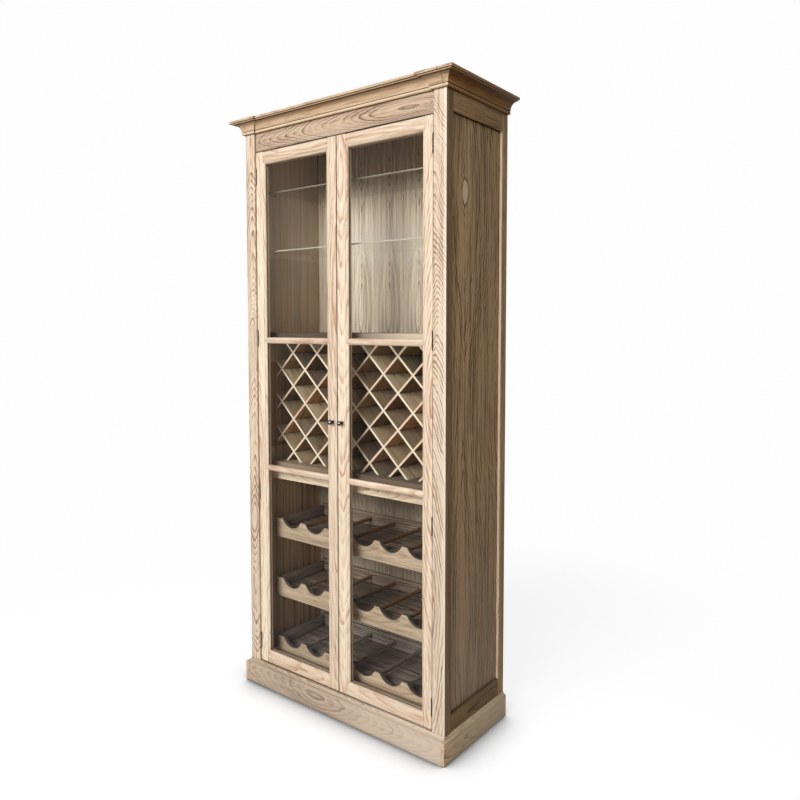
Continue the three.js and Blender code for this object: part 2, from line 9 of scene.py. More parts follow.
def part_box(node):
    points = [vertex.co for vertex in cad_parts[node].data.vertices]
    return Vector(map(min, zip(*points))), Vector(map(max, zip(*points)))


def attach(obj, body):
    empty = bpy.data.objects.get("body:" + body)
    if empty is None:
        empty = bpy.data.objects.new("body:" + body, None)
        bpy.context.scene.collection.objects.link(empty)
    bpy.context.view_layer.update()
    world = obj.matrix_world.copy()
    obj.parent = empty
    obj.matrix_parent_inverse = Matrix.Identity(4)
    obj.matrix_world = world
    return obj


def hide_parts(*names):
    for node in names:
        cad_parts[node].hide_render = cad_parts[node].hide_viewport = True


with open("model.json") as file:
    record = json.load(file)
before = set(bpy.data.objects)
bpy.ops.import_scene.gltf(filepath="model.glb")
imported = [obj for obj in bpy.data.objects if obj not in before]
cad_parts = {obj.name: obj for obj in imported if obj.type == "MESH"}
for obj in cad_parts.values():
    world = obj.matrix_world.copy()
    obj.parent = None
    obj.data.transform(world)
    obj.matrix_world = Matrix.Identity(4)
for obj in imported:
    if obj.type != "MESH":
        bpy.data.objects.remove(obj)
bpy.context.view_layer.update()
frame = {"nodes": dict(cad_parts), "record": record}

nodes = frame["nodes"]
HANDS = {"left": -1, "right": 1}

# The photograph's viewpoint, in metres and radians, for an 800 pixel frame
FRAME_PX = 800
SENSOR_MM = 36
FOCAL_PX = 718.06
CENTRE_PX = (402.0, 369.1)
EYE = (1.85043, -2.17084, 1.50837)
TURN = 0.65694
DIP = 0.05838


def add_camera():
    data = bpy.data.cameras.new("viewpoint")
    data.sensor_width = SENSOR_MM
    data.lens = FOCAL_PX * SENSOR_MM / FRAME_PX
    data.shift_x = 0.5 - CENTRE_PX[0] / FRAME_PX
    data.shift_y = CENTRE_PX[1] / FRAME_PX - 0.5
    data.clip_end = 200
    camera = bpy.data.objects.new("viewpoint", data)
    bpy.context.scene.collection.objects.link(camera)
    ahead = Vector((-math.sin(TURN) * math.cos(DIP), math.cos(TURN) * math.cos(DIP), -math.sin(DIP)))
    right = ahead.cross(Vector((0, 0, 1))).normalized()
    up = right.cross(ahead)
    turn = Matrix((right, up, -ahead)).transposed()
    camera.matrix_world = Matrix.Translation(EYE) @ turn.to_4x4()
    bpy.context.scene.camera = camera


# Colours, written as 0 to 255 in sRGB
def linear(rgb):
    parts = [c / 255 for c in rgb]
    return tuple(c / 12.92 if c <= 0.04045 else ((c + 0.055) / 1.055) ** 2.4 for c in parts) + (1.0,)


class Graph:
    """Adds nodes to a node tree and joins them with short calls."""

    def __init__(self, tree):
        self.tree = tree

    def node(self, kind, inputs=None, **settings):
        made = self.tree.nodes.new("ShaderNode" + kind)
        for name, value in settings.items():
            setattr(made, name, value)
        for name, value in (inputs or {}).items():
            self.feed(made.inputs[name], value)
        return made

    def feed(self, socket, value):
        if isinstance(value, bpy.types.NodeSocket):
            self.tree.links.new(value, socket)
        else:
            socket.default_value = value

    def math(self, operation, *values):
        made = self.tree.nodes.new("ShaderNodeMath")
        made.operation = operation
        for socket, value in zip(made.inputs, values):
            self.feed(socket, value)
        return made.outputs[0]

    def times(self, a, b):
        return self.math("MULTIPLY", a, b)

    def plus(self, a, b):
        return self.math("ADD", a, b)

    def minus(self, a, b):
        return self.math("SUBTRACT", a, b)

    def vector(self, operation, a, b):
        return self.node("VectorMath", {0: a, 1: b}, operation=operation).outputs[0]

    def hypotenuse(self, a, b):
        return self.math("SQRT", self.plus(self.math("POWER", a, 2.0), self.math("POWER", b, 2.0)))

    def mix(self, factor, a, b):
        """Mixes two colours. Inputs 6 and 7 and output 2 of this node are its colour sockets."""
        made = self.tree.nodes.new("ShaderNodeMix")
        made.data_type = "RGBA"
        self.feed(made.inputs["Factor"], factor)
        self.feed(made.inputs[6], a)
        self.feed(made.inputs[7], b)
        return made.outputs[2]

    def spread(self, value, low, high, to_low=0.0, to_high=1.0):
        """Maps low to high smoothly onto the second pair, and holds both ends."""
        made = self.node("MapRange", {"Value": value, "From Min": low, "From Max": high})
        made.interpolation_type = "SMOOTHSTEP"
        made.inputs["To Min"].default_value = to_low
        made.inputs["To Max"].default_value = to_high
        return made.outputs["Result"]

    def noise(self, vector, scale=1.0, detail=2.0, roughness=0.5):
        made = self.node("TexNoise", {"Scale": scale, "Detail": detail, "Roughness": roughness})
        self.feed(made.inputs["Vector"], vector)
        return made.outputs["Fac"]


def new_group(name, inputs, outputs):
    group = bpy.data.node_groups.new(name, "ShaderNodeTree")
    for label, (kind, value) in inputs.items():
        socket = group.interface.new_socket(label, in_out="INPUT", socket_type="NodeSocket" + kind)
        if value is not None:
            socket.default_value = value
    for label, kind in outputs.items():
        group.interface.new_socket(label, in_out="OUTPUT", socket_type="NodeSocket" + kind)
    graph = Graph(group)
    start = group.nodes.new("NodeGroupInput")
    end = group.nodes.new("NodeGroupOutput")
    return group, graph, start.outputs, end.inputs


# Painted shade: corners, creases and gaps are darkened by how closed in they are, from an occlusion node
CORNER_SHADE_REACH = 0.009
CORNER_SHADE_SAMPLES = 6
CLOSED, OPEN = 0.25, 0.85


def crease(g):
    """How deep in a corner a point lies, from 0 to 1, for the painted shade there."""
    openness = g.node("AmbientOcclusion", {"Distance": CORNER_SHADE_REACH}, samples=CORNER_SHADE_SAMPLES).outputs["AO"]
    return g.spread(openness, CLOSED, OPEN, 1.0, 0.0)


# Noise in the oak, as features in a metre: across the grain, along it
WANDER = (3.1, 1.3)
RIPPLE = (38, 9)
BREAKS = (26, 4)
FLAME = (95, 2.4)
CLOUD = (6, 1.6)
PORES = (480, 26)

# One ring is a year from 0 to 1: open pores first, then the hard dark line
EARLY_END = (0.12, 0.5)
LATE_START = (0.45, 0.82)
LATE_END = (0.9, 1.0)
RIPPLE_RINGS = 1.3      # how far a ripple pushes the grain, in rings
STREAK_RINGS = 0.23     # broad streaks to a ring
KNOT_RINGS = 3.2        # how many rings a knot pushes aside

# Shares of the noises in the tone, which runs from 0, the pale ground, to 1, the tan of the lines
FIBRE_SHARE = 0.55
CLOUD_SHARE = 0.4
GROUND_TONE = 0.12

# A knot, by the distance from its heart in knot sizes: pale heart, dark rim, faint pale halo
HEART_EDGE = (0.46, 0.54)
RIM_START, RIM_END, RIM_SHARE = (0.5, 0.56), (0.6, 0.68), 0.5
HALO_START, HALO_END, HALO_SHARE = (0.64, 0.7), (0.74, 0.84), 0.22


# Oak figure. Growth rings stand round a pith that runs along Z at X = Y = 0, and open out above
# and below Z = 0, so a board cut beside the pith shows crowns. Swell adds eyes, and so does a knot.
def build_oak():
    group, g, given, out = new_group(
        "limed_oak",
        {
            "Vector": ("Vector", None),
            "Pale": ("Color", (1, 1, 1, 1)),
            "Tan": ("Color", (0.5, 0.4, 0.3, 1)),
            "Lime": ("Color", (1, 1, 1, 1)),
            "Ring": ("Float", 0.005),
            "Taper": ("Float", 0.06),
            "Eye": ("Float", 0.01),
            "Swell": ("Float", 0.0),
            "Swell Length": ("Float", 1.0),
            "Knot": ("Vector", None),
            "Knot Size": ("Float", 0.03),
            "Wave": ("Float", 0.02),
            "Fibre": ("Float", 12.0),
            "Line": ("Float", 0.6),
            "Streak": ("Float", 0.3),
            "Flame": ("Float", 0.4),
            "Knot Lime": ("Float", 0.0),
            "Knot Stretch": ("Float", 0.3),
            "Fineness": ("Float", 240.0),
            "Corner Shade": ("Float", 0.8),
            "Limed": ("Float", 0.4),
        },
        {"Color": "Color", "Roughness": "Float", "Height": "Float"},
    )
    place = given["Vector"]

    def stretched(x, z):
        return g.vector("MULTIPLY", place, (x, x, z))

    def bent(vector, scales, amount):
        noise = g.node("TexNoise", {"Vector": stretched(*scales), "Scale": 1.0, "Detail": 2.0})
        push = g.vector("SUBTRACT", noise.outputs["Color"], (0.5, 0.5, 0.5))
        sized = g.node("VectorMath", {0: push, "Scale": amount}, operation="SCALE").outputs[0]
        return g.vector("ADD", vector, sized)

    wandering = bent(place, WANDER, given["Wave"])
    wandering = bent(wandering, RIPPLE, g.times(given["Ring"], RIPPLE_RINGS))
    parts = g.node("SeparateXYZ", {"Vector": wandering}).outputs
    around = g.hypotenuse(parts["X"], parts["Y"])
    rise = g.hypotenuse(g.times(parts["Z"], given["Taper"]), given["Eye"])
    phase = g.math("DIVIDE", g.times(parts["Z"], math.tau), given["Swell Length"])
    swell = g.times(g.math("COSINE", phase), given["Swell"])
    knot_shape = g.node("CombineXYZ", {"X": 1.0, "Y": 1.0, "Z": given["Knot Stretch"]}).outputs[0]
    from_knot = g.vector("MULTIPLY", g.vector("SUBTRACT", wandering, given["Knot"]), knot_shape)
    away = g.node("VectorMath", {0: from_knot}, operation="LENGTH").outputs["Value"]
    distance = g.math("DIVIDE", away, given["Knot Size"])
    knot = g.math("EXPONENT", g.times(g.math("POWER", distance, 2.0), -1.0))
    radius = g.minus(g.plus(around, rise), swell)
    ring = g.minus(g.math("DIVIDE", radius, given["Ring"]), g.times(knot, KNOT_RINGS))

    season = g.math("FRACT", ring)
    year = g.node("TexWhiteNoise", {"W": g.math("FLOOR", ring)}, noise_dimensions="1D").outputs["Value"]
    breaks = g.spread(g.noise(stretched(*BREAKS)), 0.3, 0.6, 0.35, 1.0)
    late = g.minus(g.spread(season, *LATE_START), g.spread(season, *LATE_END))
    late = g.times(late, g.times(breaks, g.spread(year, 0.0, 1.0, 0.2, 1.0)))
    streaks = {"W": g.times(ring, STREAK_RINGS), "Scale": 1.0, "Detail": 2.0}
    broad = g.node("TexNoise", streaks, noise_dimensions="1D").outputs["Fac"]
    streak = g.spread(broad, 0.35, 0.65, -0.5, 0.5)
    counts = {"X": given["Fineness"], "Y": given["Fineness"], "Z": given["Fibre"]}
    strands = g.vector("MULTIPLY", place, g.node("CombineXYZ", counts).outputs[0])
    fibre = g.spread(g.noise(strands, detail=3.0, roughness=0.7), 0.3, 0.7)
    flame = g.spread(g.noise(stretched(*FLAME), detail=2.0, roughness=0.6), 0.36, 0.64, -0.5, 0.5)
    cloud = g.noise(stretched(*CLOUD), detail=2.0)
    pores = g.spread(g.noise(stretched(*PORES), detail=2.0, roughness=0.6), 0.5, 0.66)
    early = g.minus(1.0, g.spread(season, *EARLY_END))
    limed = g.times(g.plus(g.times(early, 0.65), 0.35), g.plus(g.times(pores, 0.7), 0.3))

    tone = g.plus(g.times(late, given["Line"]), g.times(streak, given["Streak"]))
    tone = g.plus(tone, g.times(g.minus(fibre, 0.5), FIBRE_SHARE))
    tone = g.plus(tone, g.times(g.minus(cloud, 0.5), CLOUD_SHARE))
    tone = g.plus(tone, g.times(flame, given["Flame"]))
    tone = g.math("MINIMUM", g.math("MAXIMUM", g.plus(tone, GROUND_TONE), 0.0), 1.0)
    colour = g.mix(tone, given["Pale"], given["Tan"])
    colour = g.mix(g.times(limed, given["Limed"]), colour, given["Lime"])
    rim = g.times(g.spread(distance, *RIM_START), g.spread(distance, *RIM_END, 1.0, 0.0))
    colour = g.mix(g.times(rim, g.times(given["Knot Lime"], RIM_SHARE)), colour, given["Tan"])
    halo = g.times(g.spread(distance, *HALO_START), g.spread(distance, *HALO_END, 1.0, 0.0))
    heart = g.math("MAXIMUM", g.spread(distance, *HEART_EDGE, 1.0, 0.0), g.times(halo, HALO_SHARE))
    colour = g.mix(g.times(heart, given["Knot Lime"]), colour, given["Lime"])
    # painted shade: the colour darkens towards black in corners and gaps
    g.feed(out["Color"], g.mix(g.times(crease(g), given["Corner Shade"]), colour, (0, 0, 0, 1)))
    g.feed(out["Roughness"], g.plus(0.48, g.times(fibre, 0.25)))
    grain = g.plus(g.times(fibre, 0.3), g.times(late, -0.25))
    g.feed(out["Height"], g.plus(g.times(pores, -0.5), grain))
    return group


OAK = build_oak()

# Finishes: the pale ground, the tan of the ring lines, the lime in the open pores, and the slot
FINISHES = {
    "front": ((236, 214, 188), (160, 118, 82), (250, 240, 224), "limed_oak"),
    "stile": ((241, 218, 191), (186, 140, 106), (252, 242, 226), "limed_oak"),
    "frieze": ((210, 183, 156), (130, 98, 72), (230, 210, 186), "limed_oak"),
    "cornice": ((218, 187, 153), (146, 108, 76), (236, 210, 178), "limed_oak"),
    "plinth": ((199, 177, 153), (132, 109, 86), (227, 211, 192), "limed_oak"),
    # The finishes on shaded_oak are copies of the same oak for the sides: darker as painted shade, the
    # plinth's side paler as painted bounce light from the floor
    "plinth_side": ((230, 200, 167), (166, 133, 99), (246, 218, 184), "shaded_oak"),
    "side": ((198, 160, 118), (98, 68, 40), (240, 208, 166), "shaded_oak"),
    "side_rail": ((188, 150, 106), (92, 62, 34), (224, 190, 146), "shaded_oak"),
    "cheek": ((158, 126, 92), (90, 64, 42), (186, 152, 116), "shaded_oak"),
    "side_cornice": ((160, 114, 66), (104, 66, 32), (190, 142, 88), "shaded_oak"),
    # underside_shade: painted shade for the faces under the cornice
    "underside_shade": ((112, 84, 58), (74, 52, 34), (130, 102, 76), "limed_oak"),
    "back": ((246, 230, 206), (124, 104, 82), (252, 244, 228), "inside_oak"),
    "inside": ((210, 170, 124), (110, 84, 58), (232, 196, 150), "inside_oak"),
    "divider": ((124, 108, 92), (84, 70, 58), (142, 126, 110), "inside_oak"),
    "apron": ((255, 234, 204), (192, 148, 110), (255, 244, 226), "tray_oak"),
    "lattice": ((250, 224, 196), (212, 174, 138), (254, 236, 214), "tray_oak"),
    # lattice_lit and cell_lit are paler copies of lattice and cell, painted light on the falling boards
    "lattice_lit": ((255, 242, 216), (238, 208, 174), (255, 246, 228), "tray_oak"),
    "cell": ((188, 150, 108), (120, 88, 58), (204, 168, 124), "tray_oak"),
    "cell_lit": ((216, 192, 158), (146, 120, 92), (230, 208, 178), "tray_oak"),
    "tray_face": ((206, 184, 156), (138, 112, 86), (224, 206, 180), "tray_oak"),
    "tray_body": ((148, 128, 110), (66, 54, 44), (168, 150, 132), "tray_box_oak"),
    "tray_low": ((150, 136, 124), (66, 58, 52), (170, 156, 144), "tray_box_oak"),
    "rod": ((136, 103, 70), (88, 63, 42), (152, 121, 88), "tray_box_oak"),
    "scallop": ((106, 98, 92), (70, 62, 56), (126, 116, 108), "tray_oak"),
}
SHINE = {"limed_oak": 0.25, "shaded_oak": 0.1, "inside_oak": 0.06, "tray_oak": 0.06, "tray_box_oak": 0.06}
BUMP_STRENGTH, BUMP_DEPTH = 0.35, 0.0006
GRAIN_TURNS = {"Z": (0, 0, 0), "X": (0, -math.pi / 2, 0), "Y": (math.pi / 2, 0, 0)}
FAR_AWAY = (9, 9, 9)
SEAM_SHADE = 0.55


def oak(name, finish, along="Z", pith=(0, 0, 0), ring=0.0055, taper=0.06, eye=0.012, swell=(0, 1),
        wave=0.03, line=0.7, streak=0.3, limed=0.45, knot=FAR_AWAY, knot_size=0.03, stretch=0.3,
        heart=0.0, fibre=12.0, fineness=240.0, flame=0.45, crease_depth=0.75, shade=1.0, leaf=None,
        seams=(), seam_shade=SEAM_SHADE, fade=None, bands=()):
    """Oak with its grain along one axis, or along Z turned by three angles.

    Pith and knot are points of the part, in metres; shade is a share of the finish's colours; corner shade
    depth scales the painted shade in corners.
    A leaf is (start, width) of veneer repeated along X.
    Each seam is a thin dark line, repeated: axis, start, spacing, width, depth. Some are grooves and
    joints, others painted shade in gaps, at returns and under rails.
    A fade is a change of colour towards one end: axis, start, end, share, colour.
    Each band is a colour between two heights: foot, top, share at the foot, share at the top, colour.
    """
    *tones, slot = FINISHES[finish]
    pale, tan, lime = ([min(255, c * shade) for c in rgb] for rgb in tones)
    material = bpy.data.materials.new(name)
    material.use_nodes = True
    g = Graph(material.node_tree)
    shader = material.node_tree.nodes["Principled BSDF"]
    turn = (Euler(GRAIN_TURNS[along]) if isinstance(along, str) else Euler(along)).to_matrix()
    coords = g.node("TexCoord").outputs["Object"]
    if leaf:
        start, width = leaf
        split = g.node("SeparateXYZ", {"Vector": coords}).outputs
        wrapped = g.math("WRAP", split["X"], start + width, start)
        coords = g.node("CombineXYZ", {"X": wrapped, "Y": split["Y"], "Z": split["Z"]}).outputs[0]
    place = g.node("Mapping", {"Vector": coords, "Rotation": tuple(turn.to_euler())})
    place.inputs["Location"].default_value = -(turn @ Vector(pith))
    figure = g.node("Group", node_tree=OAK)
    values = {
        "Pale": linear(pale), "Tan": linear(tan), "Lime": linear(lime), "Limed": limed,
        "Ring": ring, "Taper": taper, "Eye": eye, "Swell": swell[0], "Swell Length": swell[1], "Wave": wave,
        "Knot": turn @ (Vector(knot) - Vector(pith)), "Knot Size": knot_size, "Knot Stretch": stretch,
        "Knot Lime": heart, "Line": line, "Streak": streak, "Flame": flame, "Fibre": fibre,
        "Fineness": fineness, "Corner Shade": crease_depth,
    }
    for key, value in values.items():
        figure.inputs[key].default_value = value
    g.feed(figure.inputs["Vector"], place.outputs[0])
    colour = figure.outputs["Color"]
    split = g.node("SeparateXYZ", {"Vector": g.node("TexCoord").outputs["Object"]}).outputs
    for axis, start, spacing, thick, deepest in seams:
        step = g.math("DIVIDE", g.minus(split[axis], start), spacing)
        near = g.math("PINGPONG", step, 0.5)
        depth = g.spread(g.noise(place.outputs[0], scale=4), 0.3, 0.7, deepest / 2, deepest)
        share = g.times(g.spread(near, 0.0, thick / spacing, 1.0, 0.0), depth)
        colour = g.mix(share, colour, linear([c * seam_shade for c in tan]))
    if fade:
        axis, start, end, share, tint = fade
        colour = g.mix(g.spread(split[axis], start, end, 0.0, share), colour, linear(tint))
    for foot, top, foot_share, top_share, tint in bands:
        above, below = g.math("GREATER_THAN", split["Z"], foot), g.math("LESS_THAN", split["Z"], top)
        share = g.spread(split["Z"], foot, top, foot_share, top_share)
        colour = g.mix(g.times(g.times(above, below), share), colour, linear(tint))
    g.feed(shader.inputs["Base Color"], colour)
    g.feed(shader.inputs["Roughness"], figure.outputs["Roughness"])
    bump = {"Strength": BUMP_STRENGTH, "Distance": BUMP_DEPTH, "Height": figure.outputs["Height"]}
    g.feed(shader.inputs["Normal"], g.node("Bump", bump).outputs[0])
    shader.inputs["Specular IOR Level"].default_value = SHINE[slot]
    return material


METAL_MOTTLE = 240


def metal(name, rgb, roughness, metallic=0.9):
    """Dark metal, mottled with spots about twice as bright."""
    material = bpy.data.materials.new(name)
    material.use_nodes = True
    g = Graph(material.node_tree)
    shader = material.node_tree.nodes["Principled BSDF"]
    coords = g.node("TexCoord").outputs["Object"]
    mottle = g.noise(coords, scale=METAL_MOTTLE, detail=3.0)
    bright = linear([min(255, c * 1.9 + 6) for c in rgb])
    g.feed(shader.inputs["Base Color"], g.mix(mottle, linear(rgb), bright))
    g.feed(shader.inputs["Roughness"], g.spread(mottle, 0.3, 0.7, roughness, roughness + 0.15))
    shader.inputs["Metallic"].default_value = metallic
    shader.inputs["Specular IOR Level"].default_value = 0.2
    return material


def highlighted_metal(name, rgb, bright, spots, reach, roughness):
    """Dark metal with a painted highlight within reach of each spot, a point in metres."""
    material = metal(name, rgb, roughness, 0.3)
    g = Graph(material.node_tree)
    shader = material.node_tree.nodes["Principled BSDF"]
    coords = g.node("TexCoord").outputs["Object"]
    nearest = None
    for spot in spots:
        away = g.node("VectorMath", {0: coords, 1: spot}, operation="DISTANCE").outputs["Value"]
        nearest = away if nearest is None else g.math("MINIMUM", nearest, away)
    painted_light_and_shade = g.spread(nearest, reach * 0.35, reach, 1.0, 0.0)
    dark = shader.inputs["Base Color"].links[0].from_socket
    g.feed(shader.inputs["Base Color"], g.mix(painted_light_and_shade, dark, linear(bright)))
    return material


def glass(name, tint, index, clarity=0.0, roughness=0.02):
    """Clear to shadows, so that the lamp's light falls through it. Clarity takes off the mirror look."""
    material = bpy.data.materials.new(name)
    material.use_nodes = True
    g = Graph(material.node_tree)
    shader = material.node_tree.nodes["Principled BSDF"]
    shader.inputs["Transmission Weight"].default_value = 1.0
    shader.inputs["IOR"].default_value = index
    shader.inputs["Base Color"].default_value = linear(tint)
    coords = g.node("TexCoord").outputs["Object"]
    smear = g.noise(coords, scale=6, detail=3.0)
    g.feed(shader.inputs["Roughness"], g.spread(smear, 0.3, 0.8, roughness * 0.3, roughness))
    clear = g.node("BsdfTransparent", {"Color": linear(tint)})
    path = g.node("LightPath")
    passing = g.math("MAXIMUM", path.outputs["Is Shadow Ray"], path.outputs["Is Diffuse Ray"])
    passing = g.math("MAXIMUM", passing, clarity)
    blend = g.node("MixShader", {0: passing, 1: shader.outputs[0], 2: clear.outputs[0]})
    out = material.node_tree.nodes["Material Output"]
    g.feed(out.inputs["Surface"], blend.outputs[0])
    return material


def satin(name, rgb, roughness):
    """Ground glass edge, pale and a little cloudy."""
    material = bpy.data.materials.new(name)
    material.use_nodes = True
    g = Graph(material.node_tree)
    shader = material.node_tree.nodes["Principled BSDF"]
    coords = g.node("TexCoord").outputs["Object"]
    cloud = g.noise(coords, scale=30, detail=3.0)
    g.feed(shader.inputs["Base Color"], g.mix(cloud, linear([c * 0.9 for c in rgb]), linear(rgb)))
    g.feed(shader.inputs["Roughness"], g.spread(cloud, 0.3, 0.7, roughness, roughness + 0.2))
    return material


# Mesh helpers. Angles between two faces: flat enough to join, to be eased, to look like an edge
FLAT = math.radians(0.5)
SHARP = math.radians(30)
HARD = math.radians(40)


def keep(name, bm, body, materials, replaced=()):
    """Makes a finished piece of a bmesh, riding on a body."""
    for face in bm.faces:
        face.smooth = True
    for edge in bm.edges:
        edge.smooth = len(edge.link_faces) != 2 or edge.calc_face_angle(0) < HARD
    mesh = bpy.data.meshes.new(name)
    bm.to_mesh(mesh)
    bm.free()
    piece = bpy.data.objects.new(name, mesh)
    bpy.context.scene.collection.objects.link(piece)
    for material in materials if isinstance(materials, (list, tuple)) else [materials]:
        mesh.materials.append(material)
    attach(piece, body)
    if replaced:
        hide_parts(*replaced)
    return piece


def ease(bm, width, segments=2):
    """Rounds every sharp edge."""
    sharp = [e for e in bm.edges if len(e.link_faces) == 2 and e.calc_face_angle(0) > SHARP]
    bmesh.ops.bevel(bm, geom=sharp, offset=width, offset_type="OFFSET", segments=segments, profile=0.5,
                    affect="EDGES", clamp_overlap=True, material=-1)


def block(low, high, width=0.001):
    """A board between two corners, with eased edges."""
    bm = bmesh.new()
    low, high = Vector(low), Vector(high)
    size = Matrix.Diagonal(high - low).to_4x4()
    bmesh.ops.create_cube(bm, size=1, matrix=Matrix.Translation((low + high) / 2) @ size)
    if width:
        ease(bm, width)
    return bm


def copied(node):
    """The node's shape, merged, with its flat faces whole again."""
    bm = bmesh.new()
    bm.from_mesh(nodes[node].data)
    bmesh.ops.remove_doubles(bm, verts=bm.verts, dist=1e-5)
    bmesh.ops.dissolve_limit(bm, angle_limit=FLAT, verts=bm.verts, edges=bm.edges, delimit={"NORMAL"})
    return bm


def turned(profile, segments, place):
    """A lathe-turned solid of [radius, height] points, ends on the axis."""
    bm = bmesh.new()
    points = [bm.verts.new((r, 0, h)) for r, h in profile]
    edges = [bm.edges.new(pair) for pair in zip(points, points[1:])]
    bmesh.ops.spin(bm, geom=points + edges, cent=(0, 0, 0), axis=(0, 0, 1), angle=math.tau,
                   steps=segments, use_merge=True)
    bmesh.ops.remove_doubles(bm, verts=bm.verts, dist=1e-6)
    bmesh.ops.recalc_face_normals(bm, faces=bm.faces)
    bmesh.ops.transform(bm, matrix=place, verts=bm.verts)
    return bm


def body_of_node(node):
    return next(body for body, members in frame["record"]["behaviour"]["bodies"].items() if node in members)


def dress(node, material, width=0.0008, segments=2, others=()):
    """Stands an eased copy in a node's place, in its wood.

    Others are pairs of a test and a wood, which covers the faces whose normal passes the test.
    """
    bm = copied(node)
    ease(bm, width, segments)
    for index, (test, _) in enumerate(others, 1):
        for face in bm.faces:
            if test(face.normal):
                face.material_index = index
    woods = [material] + [wood for _, wood in others]
    return keep(node + "_eased", bm, body_of_node(node), woods, [node])


def sideways(normal):
    return abs(normal.x) > 0.8


def rearward(normal):
    return normal.y > 0.8


def outward(side):
    return lambda normal: normal.x * side > 0.8


def level(normal):
    return abs(normal.z) > 0.8


def downward(normal):
    return normal.z < -0.97


def frontward(normal):
    return abs(normal.x) < 0.2 and normal.y < -0.05


def wood_for(node, finish, along, **figure):
    """Oak whose pith lies behind the node's face, at a place of its own."""
    low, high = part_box(node)
    middle = [(a + b) / 2 for a, b in zip(low, high)]
    shift = figure.pop("shift", (0, 0, 0))
    pith = [m + s for m, s in zip(middle, shift)]
    return oak(f"{node}_{finish}_oak", finish, along, pith, **figure)


# Outer faces, in metres like all lengths here
POST_FRONT = -0.179
RAIL_FRONT = -0.1726
SIDE_FACE = 0.495

# Cornice: roll and bead stand out pale as painted highlights, the cove is darkest at its top as painted
# shade
CORNICE_JOINT = 0.492
ROLL_FOOT, ROLL_TOP = 2.297, 2.3065
COVE_FOOT, COVE_MIDDLE = 2.3093, 2.3185
BEAD_FOOT, FILLET_FOOT, CORNICE_TOP = 2.3374, 2.3407, 2.36
CROWN_BANDS = (
    (BEAD_FOOT, FILLET_FOOT, 0.85, 0.85, (255, 234, 200)),
    (COVE_MIDDLE, BEAD_FOOT, 0.0, 0.45, (150, 106, 66)),
    (ROLL_FOOT, ROLL_TOP, 0.6, 0.6, (250, 226, 192)),
)
# The cornice's returns: painted highlights on fillet, bead and roll, painted shade at the cove's top
SIDE_CROWN_BANDS = (
    (FILLET_FOOT, CORNICE_TOP, 0.3, 0.3, (236, 196, 146)),
    (BEAD_FOOT, FILLET_FOOT, 0.5, 0.5, (236, 196, 146)),
    (COVE_MIDDLE, BEAD_FOOT, 0.0, 0.6, (52, 30, 8)),
    (COVE_FOOT, COVE_MIDDLE, 0.35, 0.0, (226, 186, 136)),
    (ROLL_FOOT, ROLL_TOP, 0.35, 0.35, (226, 186, 136)),
)

# Back panel in the display zone: darker at its foot, palest at half height as painted light, and dark under
# the top board as painted shadow
BACK_BANDS = (
    (1.36, 1.66, 0.24, 0.04, (124, 108, 92)),
    (1.68, 1.84, 0.0, 0.3, (240, 236, 230)),
    (1.84, 2.0, 0.3, 0.0, (240, 236, 230)),
    (2.0, 2.3, 0.0, 0.4, (66, 66, 62)),
)


